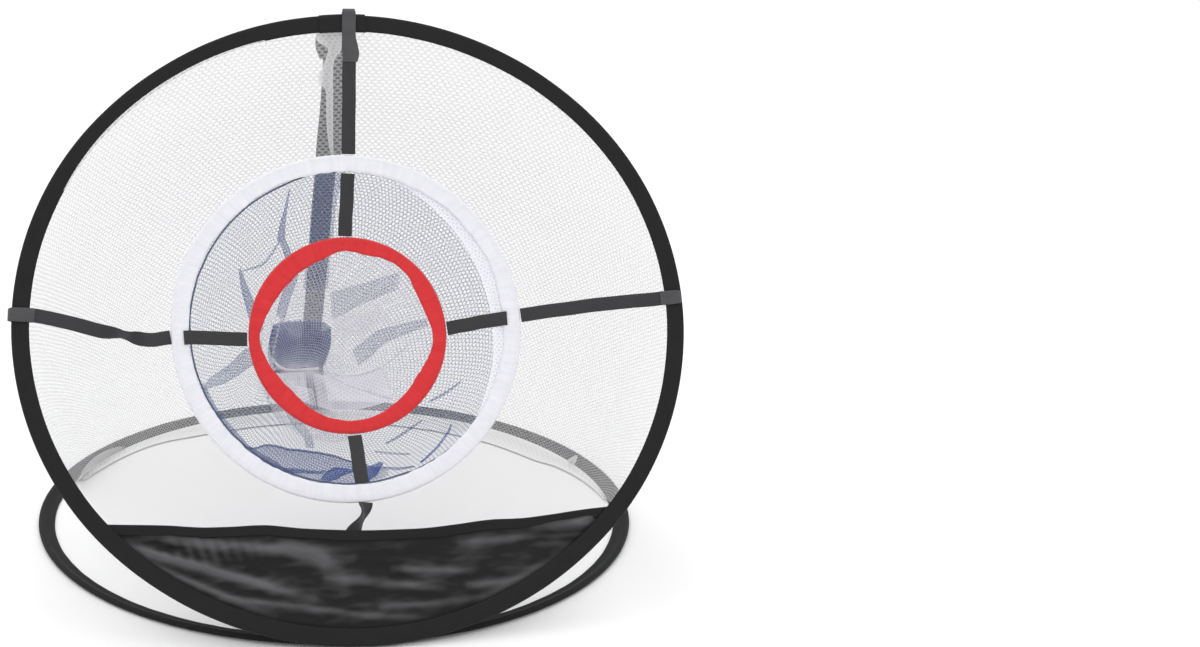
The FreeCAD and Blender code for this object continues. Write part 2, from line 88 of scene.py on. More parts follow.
# %% [markdown]
# The front hoop leans back 26.8 degrees. Its pieces are easiest to make lying flat, with x across,
# y up the hoop and z towards the player, and are then leaned into place all together, just as the
# real one is sewn flat on a table. Each sleeve has its width, half its thickness over the wire, the
# thickness of its flat tail and the length of the ramp between the two.

# %% Sizes and the lean of the front hoop
MM = 0.001
LEAN = math.radians(26.8)
BASE_RADIUS = 258.0
FRONT_HALF_WIDTH = 265.0
FRONT_HALF_HEIGHT = 250.0
HOOP = dict(width=14.0, half=2.55, tail=1.6, ramp=6.0)
MIDDLE = dict(width=14.0, half=2.2, tail=1.6, ramp=6.0)
INNER = dict(width=12.6, half=2.7, tail=2.2, ramp=5.5)
MIDDLE_CENTRE = Vector((-3.5, -0.7, -8.0))
MIDDLE_RADIUS = 138.5
INNER_CENTRE = Vector((-2.4, -6.1, -18.0))
INNER_RADIUS = 79.2
SEWN = HOOP["half"] - HOOP["tail"] / 2
NET_INSET = 9.0
HINGE = Vector((0.0, -256.5, 5.6)) * MM
UP = Vector((0.0, 0.0, 1.0))
up_hoop = Vector((0.0, math.sin(LEAN), math.cos(LEAN)))
to_player = Vector((0.0, -math.cos(LEAN), math.sin(LEAN)))
seam = Vector((0.0, -(BASE_RADIUS + 0.3 + HOOP["half"]), HOOP["half"] + 0.6))
hoop_centre = (seam + up_hoop * (FRONT_HALF_HEIGHT - HOOP["half"])) * MM
STAND = Matrix.Translation(hoop_centre) @ Matrix.Rotation(math.pi / 2 - LEAN, 4, "X")
print("front hoop's centre:", [round(c, 4) for c in hoop_centre])


def flat_arcs(half_width, squeeze):
    """Four tangent arcs of an oval: centre x and y, radius, start and sweep in degrees."""
    side = 1.7 * squeeze
    slack = side - squeeze
    lift = (side ** 2 - slack ** 2) / (2 * slack)
    split = math.degrees(math.atan2(lift, side))
    top = half_width - squeeze + lift
    return [
        (side, 0.0, half_width - side, -split, 2 * split),
        (0.0, -lift, top, split, 180 - 2 * split),
        (-side, 0.0, half_width - side, 180 - split, 2 * split),
        (0.0, lift, top, 180 + split, 180 - 2 * split),
    ]


OVAL = flat_arcs(FRONT_HALF_WIDTH, FRONT_HALF_WIDTH - FRONT_HALF_HEIGHT)
TOP_ARC_RADIUS = 275.7
BASE_ARCS = [(0.0, 0.0, BASE_RADIUS, 0.0, 360.0)]


def on_arcs(arcs, degrees, inset=0.0):
    """The point of a chain of arcs whose outward direction is this angle."""
    for x, y, radius, start, sweep in arcs:
        if (degrees - start) % 360 <= sweep:
            break
    turn = math.radians(degrees)
    reach = radius - inset
    return Vector((x + reach * math.cos(turn), y + reach * math.sin(turn), 0.0))


def front(degrees, inset=0.0, height=0.0):
    """A point of the front hoop in its own flat frame, in millimetres."""
    return on_arcs(OVAL, degrees, inset) + Vector((0, 0, height))


def leaned(point):
    """Where a point of the flat frame lies once the front hoop leans, in metres."""
    return STAND @ (point * MM)


def heading(turn):
    """The flat direction at an angle in radians."""
    return Vector((math.cos(turn), math.sin(turn), 0.0))


def on_ring(centre, radius, degrees, height=0.0):
    turn = math.radians(degrees)
    return centre + Vector((radius * math.cos(turn), radius * math.sin(turn), height))


# %% [markdown]
# A few small helpers keep each piece short. A primitive is added, named, and its size and place are
# settled into its mesh at once, so that every finished piece sits at the origin. Modifiers are
# applied as soon as they are set.

# %% Helpers for modelling
def settle(name):
    """Names the primitive that was just added and moves its place into its mesh."""
    piece = bpy.context.object
    piece.name = name
    piece.data.name = name
    bpy.ops.object.transform_apply(location=True, rotation=True, scale=True)
    return piece


def unit_grid(name, columns, rows):
    """A flat grid whose x and y run from 0 to 1, to be laid by a rule."""
    middle = (0.5, 0.5, 0)
    bpy.ops.object.select_all(action="DESELECT")
    bpy.ops.mesh.primitive_grid_add(x_subdivisions=columns, y_subdivisions=rows, size=1, location=middle)
    return settle(name)


def pick(piece):
    bpy.ops.object.select_all(action="DESELECT")
    piece.select_set(True)
    bpy.context.view_layer.objects.active = piece


def finish_with(piece, kind, **settings):
    """Adds one modifier and applies it."""
    pick(piece)
    modifier = piece.modifiers.new(kind.lower(), kind)
    for name, value in settings.items():
        setattr(modifier, name, value)
    bpy.ops.object.modifier_apply(modifier=modifier.name)


def smooth(piece, degrees):
    pick(piece)
    bpy.ops.object.shade_smooth_by_angle(angle=math.radians(degrees))


def stand_up(piece):
    """Leans a piece that was made flat into the front hoop."""
    piece.data.transform(STAND)
    piece.data.update()


def move_points(piece, rule):
    """Gives each point of a piece the place that the rule works out for it."""
    for vertex in piece.data.vertices:
        vertex.co = rule(vertex.co.copy(), vertex.index)
    piece.data.update()


def cloth_layer(piece):
    """An empty UV map in place of any that the primitive came with."""
    layers = piece.data.uv_layers
    while layers:
        layers.remove(layers[0])
    return layers.new(name="cloth")


def flat_map(piece):
    """Keeps the flat size of a strip or sheet as its UV map, in metres, before it is laid or hung."""
    layer = cloth_layer(piece)
    points = piece.data.vertices
    for loop in piece.data.loops:
        layer.data[loop.index].uv = points[loop.vertex_index].co.xy


def join_to(piece, others):
    """Makes the other pieces part of this one."""
    pick(piece)
    for other in others:
        other.select_set(True)
    bpy.ops.object.join()


def crowding(piece, values):
    """Keeps how closely the netting lies at each point, from 0 to 1."""
    layer = piece.data.attributes.new("crowd", "FLOAT", "POINT")
    layer.data.foreach_set("value", values)


def ripple(a, b, seed):
    """Smooth noise from -1 to 1 that is the same at every run."""
    return noise.noise(Vector((a, b, seed)))


def cloth_area(piece):
    return sum(face.area for face in piece.data.polygons)


def hand_over(piece, finish, body, node=None):
    """Gives a piece its material, the body it rides on and the solid it replaces."""
    finish.put_on(piece)
    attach(piece, body)
    if node:
        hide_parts(node)


# %% [markdown]
# Shader maths reads best as plain sums. This class wraps one socket of a node, so that an
# expression such as 1 - mask * 0.5 adds its Math nodes by itself. Any other node comes from its
# node method, with the node's settings first and then the values or links of its sockets.

# %% A socket that can be used in sums
class Wire:
    def __init__(self, tree, socket):
        self.tree = tree
        self.socket = socket

    def node(self, kind, settings, inputs, out=0):
        made = self.tree.nodes.new(kind)
        for name, value in settings.items():
            setattr(made, name, value)
        for key, value in inputs.items():
            if isinstance(value, Wire):
                self.tree.links.new(value.socket, made.inputs[key])
            else:
                made.inputs[key].default_value = value
        return Wire(self.tree, made.outputs[out])

    def math(self, operation, first, second=0.0):
        return self.node("ShaderNodeMath", {"operation": operation}, {0: first, 1: second})

    def __add__(self, other):
        return self.math("ADD", self, other)

    def __sub__(self, other):
        return self.math("SUBTRACT", self, other)

    def __rsub__(self, other):
        return self.math("SUBTRACT", other, self)

    def __mul__(self, other):
        return self.math("MULTIPLY", self, other)

    def __truediv__(self, other):
        return self.math("DIVIDE", self, other)

    def __abs__(self):
        return self.math("ABSOLUTE", self)

    __radd__ = __add__
    __rmul__ = __mul__

    def fract(self):
        return self.math("FRACT", self)

    def sine(self):
        return self.math("SINE", self)

    def larger(self, other):
        return self.math("MAXIMUM", self, other)

    def smaller(self, other):
        return self.math("MINIMUM", self, other)

    def above(self, edge, softness):
        """0 below the edge and 1 above it, with a soft step between."""
        ends = {"From Min": edge - softness, "From Max": edge + softness}
        settings = {"interpolation_type": "SMOOTHSTEP", "clamp": True}
        return self.node("ShaderNodeMapRange", settings, {"Value": self, **ends})

    def part(self, axis):
        return self.node("ShaderNodeSeparateXYZ", {}, {0: self}, out="XYZ".index(axis))

    def scaled(self, factor):
        inputs = {0: self, "Scale": factor}
        return self.node("ShaderNodeVectorMath", {"operation": "SCALE"}, inputs)

    def stretched(self, x, y):
        inputs = {0: self, 1: (x, y, 1.0)}
        return self.node("ShaderNodeVectorMath", {"operation": "MULTIPLY"}, inputs)

    def specks(self, scale, detail):
        """Noise from 0 to 1, with this many waves to the metre."""
        inputs = {"Vector": self, "Scale": scale, "Detail": detail}
        return self.node("ShaderNodeTexNoise", {}, inputs)

    def tint(self, low, high):
        """The colour between two, by this value."""
        low, high = (end if isinstance(end, Wire) else (*end, 1.0) for end in (low, high))
        return self.node("ShaderNodeMix", {"data_type": "RGBA"}, {0: self, 6: low, 7: high}, out=2)


def shade(*rgb):
    """A colour read off a screen, 0 to 255, as the light values that shaders use."""
    return tuple((c / 255 / 12.92) if c < 10.3 else ((c / 255 + 0.055) / 1.055) ** 2.4 for c in rgb)


class Finish:
    """A material: its constants go straight onto the shader, and wires feed what changes."""

    def __init__(self, name, **constants):
        self.material = bpy.data.materials.new(name)
        self.material.use_nodes = True
        self.tree = self.material.node_tree
        self.shader = self.tree.nodes["Principled BSDF"]
        for socket, value in constants.items():
            self.shader.inputs[socket.replace("_", " ")].default_value = value

    def read(self, output):
        source = self.tree.nodes.new("ShaderNodeTexCoord")
        return Wire(self.tree, source.outputs[output])

    def layer(self, name):
        """A value that the mesh keeps at each of its points."""
        source = self.tree.nodes.new("ShaderNodeAttribute")
        source.attribute_name = name
        return Wire(self.tree, source.outputs["Fac"])

    def feed(self, socket, wire):
        self.tree.links.new(wire.socket, self.shader.inputs[socket])

    def emboss(self, height, distance):
        """Turns a height from 0 to 1 into a bump of this depth in metres."""
        inputs = {"Height": height, "Distance": distance, "Strength": 1.0}
        self.feed("Normal", height.node("ShaderNodeBump", {}, inputs))

    def put_on(self, piece):
        piece.data.materials.clear()
        piece.data.materials.append(self.material)


# %% [markdown]
# Binding tape is a thin plain weave folded over the wire. Up close it shows fine ribs across the
# tape and a little dust in the dye, and from a step away it is an even matt black. The weave reads
# the tape's own UV map, whose units are metres, so its ribs keep their real size of 0.7 mm. Where a
# tape is gathered, its folds go into its colour as well as its bumps: painted shade in the creases
# and a painted highlight on the ridges.

# %% Binding tapes
def tape_finish(name, dark, light, rib, sheen, gather=0.0):
    tape = Finish(name, Specular_IOR_Level=0.2, Sheen_Weight=sheen, Sheen_Roughness=0.5)
    cloth = tape.read("UV")
    along = cloth.part("X")
    across = cloth.part("Y")
    ribs = (along * (2 * math.pi / rib)).sine()
    yarns = (across * (2 * math.pi / (rib * 0.8))).sine()
    weave = ribs * yarns * 0.5 + 0.5
    cloud = cloth.specks(90.0, 4.0)
    # Painted shade and highlight along the folds of a gathered tape: darker colour in the creases, lighter on
    # the ridges.
    shaded_folds = cloth.stretched(1.0, 0.12).specks(260.0, 3.0).above(0.5, 0.22)
    cloud = cloud * (1 - gather) + shaded_folds * gather
    tape.feed("Base Color", (cloud * 0.75 + weave * 0.25).tint(dark, light))
    tape.feed("Roughness", cloud * 0.2 + 0.68)
    tape.emboss(weave * 0.3 + cloud * 0.7, 0.00012 + 0.0006 * gather)
    return tape


black_tape = tape_finish(
    "black_binding_tape", shade(20, 20, 21), shade(38, 38, 39), rib=0.0007, sheen=0.03
)
white_tape = tape_finish(
    "white_binding_tape", shade(220, 220, 228), shade(243, 243, 248), rib=0.0008, sheen=0.1, gather=0.35
)
red_tape = tape_finish(
    "red_binding_tape", shade(196, 38, 42), shade(226, 60, 64), rib=0.0008, sheen=0.2, gather=0.35
)
print("tapes:", black_tape.material.name, white_tape.material.name, red_tape.material.name)

# %% [markdown]
# Webbing is much coarser: thick yarns run along the strap, and each weft pulls them down in a
# staggered rhythm, so the strap looks like rows of small grains.

# %% Webbing
def webbing_finish(name, dark, light):
    webbing = Finish(name, Specular_IOR_Level=0.35, Sheen_Weight=0.12)
    cloth = webbing.read("UV")
    along = cloth.part("X")
    across = cloth.part("Y")
    row = (across / 0.0011).fract() - 0.5
    column = (across / 0.0022).fract().above(0.5, 0.02)
    grain = ((along / 0.0021 + column * 0.5) * (2 * math.pi)).sine() * 0.5 + 0.5
    height = (1 - abs(row) * 2) * 0.6 + grain * 0.4
    cloud = cloth.specks(60.0, 3.0)
    webbing.feed("Base Color", (height * 0.55 + cloud * 0.45).tint(dark, light))
    webbing.feed("Roughness", cloud * 0.25 + 0.5)
    webbing.emboss(height, 0.00028)
    return webbing


black_webbing = webbing_finish("black_webbing", shade(20, 20, 22), shade(62, 61, 64))
loop_webbing = webbing_finish("worn_loop_webbing", shade(38, 38, 40), shade(92, 91, 94))
print("webbing:", black_webbing.material.name, loop_webbing.material.name)

# %% [markdown]
# The pocket is a light nylon cloth. It is nearly black but shines along its folds, where it is
# pulled tight. So it has a lower roughness than the tape and a fine grid in its weave, and its mesh
# keeps where the ridges of the folds are: there the colour is made much lighter, as a painted sheen.
# Long streaks of painted sheen lighten the colour across the cloth too.

# %% Pocket cloth
pocket_cloth = Finish("black_pocket_cloth", Specular_IOR_Level=0.2, Sheen_Weight=0.03, Sheen_Roughness=0.35)
cloth = pocket_cloth.read("UV")
across_yarns = (cloth.part("X") * (2 * math.pi / 0.0009)).sine()
up_yarns = (cloth.part("Y") * (2 * math.pi / 0.0009)).sine()
grid = across_yarns * up_yarns * 0.5 + 0.5
# Long streaks of painted sheen: this noise lightens the cloth's colour in bands, and also varies its
# roughness and bumps.
sheen_streaks = cloth.stretched(0.35, 1.6).specks(26.0, 5.0)
matt = (sheen_streaks * 0.8 + grid * 0.2).tint(shade(9, 9, 10), shade(32, 32, 33))
painted_sheen = (sheen_streaks * 0.8 + grid * 0.2).tint(shade(62, 62, 64), shade(108, 108, 110))
# Painted sheen: the cloth's colour turns much lighter where the mesh notes a ridge.
pocket_cloth.feed("Base Color", pocket_cloth.layer("ridge").tint(matt, painted_sheen))
pocket_cloth.feed("Roughness", sheen_streaks * 0.25 + 0.35)
pocket_cloth.emboss(grid * 0.4 + sheen_streaks * 0.6, 0.0002)
print("cloth:", pocket_cloth.material.name)

# %% [markdown]
# Warp-knitted net has six-sided cells. Modelling hundreds of thousands of threads would be
# hopeless, so a net is one thin sheet and the holes come from its Alpha. The distance to the edge
# of the nearest six-sided cell is the smaller of the distances to two staggered grids of cells.
# A thread is hairy and half clear. The holes get a thin veil of the thread's colour, which is painted
# shade standing in for the shaded sides of the threads. Where netting lies in pleats its mesh says
# so, and there it is closer and deeper in colour.

# %% Nets
def net_finish(name, pitch, thread, clear, dark, light, deep):
    """clear is how much a hole covers, with a veil of painted shade, and how much a thread covers. The
    colours are the cloth's two and the deeper one where it lies in pleats."""
    net = Finish(name, Roughness=0.7, Sheen_Weight=0.1)
    cloth = net.read("UV")
    sway = cloth.specks(60.0, 1.0) - 0.5
    x = (cloth.part("X") + sway * (pitch * 0.5)) / pitch
    y = (cloth.part("Y") + sway * (pitch * 0.4)) / (pitch * math.sqrt(3))

    def to_middle(shift):
        side = abs((x + shift).fract() - 0.5)
        rise = abs((y + shift).fract() - 0.5) * math.sqrt(3)
        return side.larger(side * 0.5 + rise * (math.sqrt(3) / 2))

    edge = to_middle(0.0).smaller(to_middle(0.5))
    threads = edge.above(0.5 - thread / pitch / 2, 0.1)
    cloud = cloth.specks(25.0, 2.0)
    crowd = net.layer("crowd")
    painted_shade_veil, full = clear
    # The holes keep a thin veil of the thread colour, which is painted shade.
    cover = threads * (full - painted_shade_veil) + painted_shade_veil
    net.feed("Base Color", crowd.tint(cloud.tint(dark, light), deep))
    net.feed("Alpha", cover + (1 - cover) * crowd * 0.6)
    return net


wall_net = net_finish(
    "white_wall_net", pitch=0.0043, thread=0.0013, clear=(0.27, 0.61),
    dark=shade(214, 214, 215), light=shade(227, 227, 228), deep=shade(242, 242, 242),
)
blue_net = net_finish(
    "blue_bag_net", pitch=0.0029, thread=0.00065, clear=(0.03, 0.58),
    dark=shade(50, 78, 126), light=shade(86, 112, 154), deep=shade(14, 70, 156),
)
white_bag_net = net_finish(
    "white_bag_net", pitch=0.0030, thread=0.0006, clear=(0.04, 0.60),
    dark=shade(212, 212, 222), light=shade(230, 230, 238), deep=shade(238, 238, 245),
)
print("nets:", wall_net.material.name, blue_net.material.name, white_bag_net.material.name)

# %% [markdown]
# The wires and ferrules hide inside the sleeves, but they are real pieces and keep their solids.
# They get a drawn spring steel and a duller crimped steel.

# %% Steel
def steel_finish(name, dark, light, roughness):
    steel = Finish(name, Metallic=1.0)
    place = steel.read("Object")
    streak = place.scaled(40.0).specks(30.0, 5.0)
    steel.feed("Base Color", streak.tint(dark, light))
    steel.feed("Roughness", streak * 0.25 + roughness)
    steel.emboss(streak, 0.00005)
    return steel


spring_steel = steel_finish("drawn_spring_steel", shade(120, 122, 126), shade(168, 170, 174), 0.3)
crimp_steel = steel_finish("crimped_ferrule_steel", shade(110, 111, 113), shade(150, 151, 154), 0.4)
for ring in ("base_hoop", "front_hoop", "middle_ring", "inner_ring"):
    spring_steel.put_on(nodes[ring + "_wire"])
    crimp_steel.put_on(nodes[ring + "_ferrule"])

# %% [markdown]
# The sleeves are folded tape: round over the wire at the outer edge, and two flat layers inside it
# where the net is sewn in. Each is drawn once as a closed outline, from a circle whose points are
# pulled into that shape, and then spun round its hoop. The front hoop is an oval of four tangent
# arcs, so its outline is spun four times, each time about the next arc's centre.

# %% Sleeves by spinning an outline
def tape_outline(size):
    """Section of a sleeve: distance in from the outer edge, and height on the flat side."""
    half, tail, width = size["half"], size["tail"], size["width"]
    foot = half + size["ramp"]
    reach = math.hypot(size["ramp"], half - tail)
    lean = math.atan2(tail - half, -size["ramp"]) % (2 * math.pi) - math.acos(half / reach)
    nose = []
    for k in range(13):
        turn = math.pi / 2 - (math.pi / 2 + lean) * k / 12
        nose.append((half - half * math.cos(turn), half * math.sin(turn)))
    low = half - tail
    start = nose[-1]
    ramp = [((start[0] + foot) / 2, (start[1] + low) / 2), (foot, low)]
    back_side = [((foot + width) / 2, low), (width - 0.5, low)]
    lip = [(width - 0.1, low + tail * 0.25), (width, half - tail / 2), (width - 0.1, half - tail * 0.25)]
    face = [(width - back, half) for back in (0.6, 2.2, 3.4, 5.5)] + [(half + 2.2, half)]
    return nose + ramp + back_side + lip + face


def spin_sleeve(name, arcs, size, flat_side, steps):
    """One closed sleeve along a chain of arcs, flat about its wire's plane, in metres."""
    outline = tape_outline(size)
    bpy.ops.object.select_all(action="DESELECT")
    bpy.ops.mesh.primitive_circle_add(vertices=len(outline), radius=0.01)
    piece = settle(name)
    x, y, radius, start, _ = arcs[0]
    outward = heading(math.radians(start))
    around = piece.data.attributes.new("around", "FLOAT", "POINT")
    travelled = 0.0
    for k, (inset, height) in enumerate(outline):
        spot = Vector((x, y, 0.0)) + outward * (radius - inset)
        piece.data.vertices[k].co = (spot + Vector((0, 0, height * flat_side))) * MM
        if k:
            travelled += math.dist(outline[k - 1], outline[k])
        around.data[k].value = travelled * MM
    pick(piece)
    bpy.ops.object.mode_set(mode="EDIT")
    bpy.ops.mesh.select_all(action="SELECT")
    for x, y, _, _, sweep in arcs:
        share = max(1, round(steps * sweep / 360))
        centre = (x * MM, y * MM, 0.0)
        turn = -math.radians(sweep)
        bpy.ops.mesh.spin(steps=share, angle=turn, center=centre, axis=(0, 0, 1))
    bpy.ops.mesh.select_all(action="SELECT")
    bpy.ops.mesh.remove_doubles(threshold=0.00002)
    bpy.ops.mesh.normals_make_consistent(inside=False)
    bpy.ops.object.mode_set(mode="OBJECT")
    return piece


def along_arcs(arcs, x, y):
    """How far round a chain of arcs a flat point lies, in millimetres."""
    travelled = 0.0
    best = None
    for cx, cy, radius, start, sweep in arcs:
        turn = (math.degrees(math.atan2(y - cy, x - cx)) - start) % 360
        past = min(turn - sweep, 360 - turn) if turn > sweep else 0.0
        if best is None or past < best[0] - 1e-6:
            best = (past, travelled + radius * math.radians(min(turn, sweep)))
        travelled += radius * math.radians(sweep)
    return best[1], travelled


def dress_sleeve(piece, arcs, ruffle):
    """Maps the tape's weave along the hoop, then lets the cloth wave a little.
    ruffle gives a push inwards and a push upwards, in millimetres, from the distance and the share
    of the way round the hoop and the share of the way round the tape's section."""
    around = piece.data.attributes["around"]
    values = [around.data[i].value for i in range(len(piece.data.vertices))]
    places = [along_arcs(arcs, v.co.x / MM, v.co.y / MM) for v in piece.data.vertices]
    whole = places[0][1] * MM
    top = max(values)
    layer = cloth_layer(piece)
    for face in piece.data.polygons:
        corners = [piece.data.loops[i].vertex_index for i in face.loop_indices]
        near = places[corners[0]][0] * MM
        low = min(values[c] for c in corners)
        for index, corner in zip(face.loop_indices, corners):
            s = places[corner][0] * MM
            s -= whole * round((s - near) / whole)
            v = values[corner]
            if v == low and max(values[c] for c in corners) - low > top / 2:
                v = top + 0.004
            layer.data[index].uv = (s, v)
    turns = 2 * math.pi / places[0][1]

    def wave(point, index):
        s = places[index][0]
        inward = -heading(s * turns)
        push_in, push_up = ruffle(s, s / places[0][1], values[index] / top)
        return point + inward * (push_in * MM) + Vector((0, 0, push_up * MM))

    move_points(piece, wave)
    piece.data.attributes.remove(piece.data.attributes["around"])
    smooth(piece, 50.0)


def between(a, b, c, d, f):
    """The smooth curve from b to c that comes from a and goes on to d, at a share of the way."""
    bend = (2 * a - 5 * b + 4 * c - d) * f ** 2
    return 0.5 * (2 * b + (c - a) * f + bend + (3 * b - a - 3 * c + d) * f ** 3)


def curve_through(stations, place):
    """Smooth curve through a list of vectors: place 0 is the first, 1 the second, and so on."""
    last = len(stations) - 1
    k = min(last - 1, int(place))
    return between(*(Vector(stations[min(max(k + n, 0), last)]) for n in (-1, 0, 1, 2)), place - k)


def value_through(values, place):
    """The same curve through plain numbers."""
    return curve_through([(value, 0.0) for value in values], place).x


def ring_noise(share, waves, seed):
    """Noise round a ring that meets itself: waves is how many bumps it has."""
    turn = share * 2 * math.pi
    reach = waves / (2 * math.pi)
    return noise.noise(Vector((math.cos(turn) * reach, math.sin(turn) * reach, seed)))


# %% [markdown]
# The black sleeves are pulled tight by the springs and only wander by a few tenths of a
# millimetre, with shallow puckers where the thread draws the tape in.

# %% The two black sleeves
TAIL_STARTS = 0.45


def tight(s, share, around):
    tail = around > TAIL_STARTS
    pucker = 0.12 * math.sin(s * 2 * math.pi / 4.2) if tail else 0.0
    sway = 0.35 * ring_noise(share, 40, 3.0)
    return (sway if tail else sway * 0.3), pucker * 0.6 + 0.15 * ring_noise(share, 90, 8.0)


base_sleeve = spin_sleeve("base_sleeve", BASE_ARCS, HOOP, flat_side=-1, steps=320)
dress_sleeve(base_sleeve, BASE_ARCS, tight)
base_sleeve.data.transform(Matrix.Translation((0, 0, HOOP["half"] * MM)))
move_points(base_sleeve, lambda p, i: Vector((p.x, p.y, max(p.z, 0.0))))
front_sleeve = spin_sleeve("front_sleeve", OVAL, HOOP, flat_side=1, steps=320)
dress_sleeve(front_sleeve, OVAL, tight)
stand_up(front_sleeve)
hand_over(base_sleeve, black_tape, "base", "base_hoop_sleeve")
hand_over(front_sleeve, black_tape, "front_frame", "front_hoop_sleeve")
print("sleeve points:", len(base_sleeve.data.vertices), len(front_sleeve.data.vertices))

# %% [markdown]
# The two rings are bound in softer tape that is gathered as it goes round the tighter curve. The
# white one shows fine cross ripples. The red one is looser still: its inner edge runs in short
# straight lengths and its width comes and goes.

# %% The white ring and the red ring
def at_lip(around):
    """1 at the tape's inner lip, falling to 0 at the wire on both sides."""
    return min(1.0, max(0.0, around - 0.35) / 0.35) * min(1.0, max(0.0, 1.02 - around) / 0.22)


def gathered(s, share, around):
    lip = at_lip(around)
    ripples = 0.6 * ring_noise(share, 170, 1.0) + 0.5 * ring_noise(share, 60, 5.0)
    edge = 1.3 * ring_noise(share, 26, 2.0) + 0.9 * ring_noise(share, 130, 6.0)
    return edge * lip, ripples * (0.4 + 0.6 * lip)


RED_WIDTHS = [
    -1.4, 1.9, 1.9, -1.9, -1.9, 0.6, -1.2, 2.6, 3.6, 3.9, 3.1, 0.1,
    -3.7, -1.2, 1.9, 2.9, 0.6, -1.2, -1.9, -1.7, 0.4, 1.4, 2.4, -0.4,
]


def loose(s, share, around):
    """The red tape's width, at every 15 degrees, above or below its cut width."""
    lip = at_lip(around)
    place = (share * 24) % 24
    k = int(place)
    wide = value_through([RED_WIDTHS[(k + n) % 24] for n in (-1, 0, 1, 2)], 1 + place - k)
    edge = wide + 0.5 * ring_noise(share, 60, 7.0)
    outer = 0.5 + 0.5 * math.cos(math.tau * share - math.radians(235.0)) + 0.3 * ring_noise(share, 14, 9.0)
    gathers = 0.7 * ring_noise(share, 70, 4.0) + 0.5 * ring_noise(share, 24, 11.0)
    return edge * lip + outer, gathers


def bind_ring(ring, centre, radius, size, steps, ruffle):
    """A ring's binding, in its place in the front hoop."""
    arcs = [(0.0, 0.0, radius, 0.0, 360.0)]
    piece = spin_sleeve(ring + "_binding", arcs, size, 1, steps)
    dress_sleeve(piece, arcs, ruffle)
    piece.data.transform(Matrix.Translation(centre * MM))
    stand_up(piece)
    return piece


middle_sleeve = bind_ring("middle_ring", MIDDLE_CENTRE, MIDDLE_RADIUS, MIDDLE, 380, gathered)
hand_over(middle_sleeve, white_tape, "middle_ring", "middle_ring_sleeve")
inner_sleeve = bind_ring("inner_ring", INNER_CENTRE, INNER_RADIUS, INNER, 260, loose)
hand_over(inner_sleeve, red_tape, "inner_ring", "inner_ring_sleeve")
print("bindings:", middle_sleeve.name, inner_sleeve.name)

# %% [markdown]
# A strap is cut flat and then laid along its route. The route is a smooth curve through a few
# stations, each with the direction across the strap there, so a twist is just a turned station.
# The flat strap keeps its UV map as it is laid, and so its weave bends with it.

# %% Strips laid along a route
class Route:
    """A smooth line through stations of (point, way across), read by distance, in millimetres."""

    def __init__(self, stations):
        points = [Vector(p) for p, _ in stations]
        turns = [Vector(a).normalized() for _, a in stations]
        points = [points[0] * 2 - points[1]] + points + [points[-1] * 2 - points[-2]]
        turns = [turns[0]] + turns + [turns[-1]]
        self.samples = []
        for k in range(1, len(points) - 2):
            for step in range(16):
                f = step / 16
                self.samples.append((between(*points[k - 1:k + 3], f), turns[k].lerp(turns[k + 1], f)))
        self.samples.append((points[-2], turns[-2]))
        self.lengths = [0.0]
        for (a, _), (b, _) in zip(self.samples, self.samples[1:]):
            self.lengths.append(self.lengths[-1] + (b - a).length)
        self.length = self.lengths[-1]

    def at(self, distance):
        """Point, way along, way across and way up at a distance."""
        distance = min(max(distance, 0.0), self.length)
        k = 0
        while k < len(self.lengths) - 2 and self.lengths[k + 1] < distance:
            k += 1
        span = self.lengths[k + 1] - self.lengths[k]
        f = (distance - self.lengths[k]) / span if span else 0.0
        (a, across_a), (b, across_b) = self.samples[k], self.samples[k + 1]
        along = (b - a).normalized()
        across = across_a.lerp(across_b, f)
        across = (across - along * across.dot(along)).normalized()
        return a.lerp(b, f), along, across, along.cross(across)


def cut_strip(name, length, width, columns, rows):
    """A flat strip from x = 0, in metres, with its flat size as its UV map."""
    bpy.ops.object.select_all(action="DESELECT")
    middle = (length * MM / 2, 0, 0)
    bpy.ops.mesh.primitive_grid_add(x_subdivisions=columns, y_subdivisions=rows, size=1, location=middle)
    bpy.context.object.scale = (length * MM, width * MM, 1)
    piece = settle(name)
    flat_map(piece)
    return piece


def lay(piece, route, shape=None):
    """Moves each point of a flat strip to its place on a route. shape may push it up or across."""
    def place(point, index):
        s = point.x / MM
        spot, along, across, up = route.at(s)
        push_across, push_up = shape(s, point.y / MM) if shape else (0.0, 0.0)
        return (spot + across * (point.y / MM + push_across) + up * (point.z / MM + push_up)) * MM

    move_points(piece, place)


def wandering(aside, off, one_side=False):
    """How far a strip strays aside and off its route. Each is a size in millimetres, its waves along
    and across the strip, and a seed. A strip that lies on a net strays off it to one side only."""
    def stray(s, side, size, along, across, seed):
        return size * ripple(s * along, side * across, seed)

    def shape(s, side):
        push_off = stray(s, side, *off)
        return stray(s, side, *aside), abs(push_off) if one_side else push_off

    return shape


def thicken(piece, thickness, edge):
    """Gives a laid strip its thickness and its rounded selvedges."""
    finish_with(piece, "SOLIDIFY", thickness=thickness * MM, offset=0.0)
    finish_with(piece, "BEVEL", width=edge * MM, segments=2, limit_method="ANGLE", angle_limit=1.0)
    smooth(piece, 50.0)


def laid_strip(name, stations, width, grid, thickness, shape=None, edge=0.35):
    """A strip that is cut as long as its route, laid along it and thickened."""
    route = Route(stations)
    piece = cut_strip(name, route.length, width, *grid)
    lay(piece, route, shape)
    thicken(piece, thickness, edge)
    return piece


STRAP_WIDTH = 11.0
WEBBING_THICKNESS = 1.2


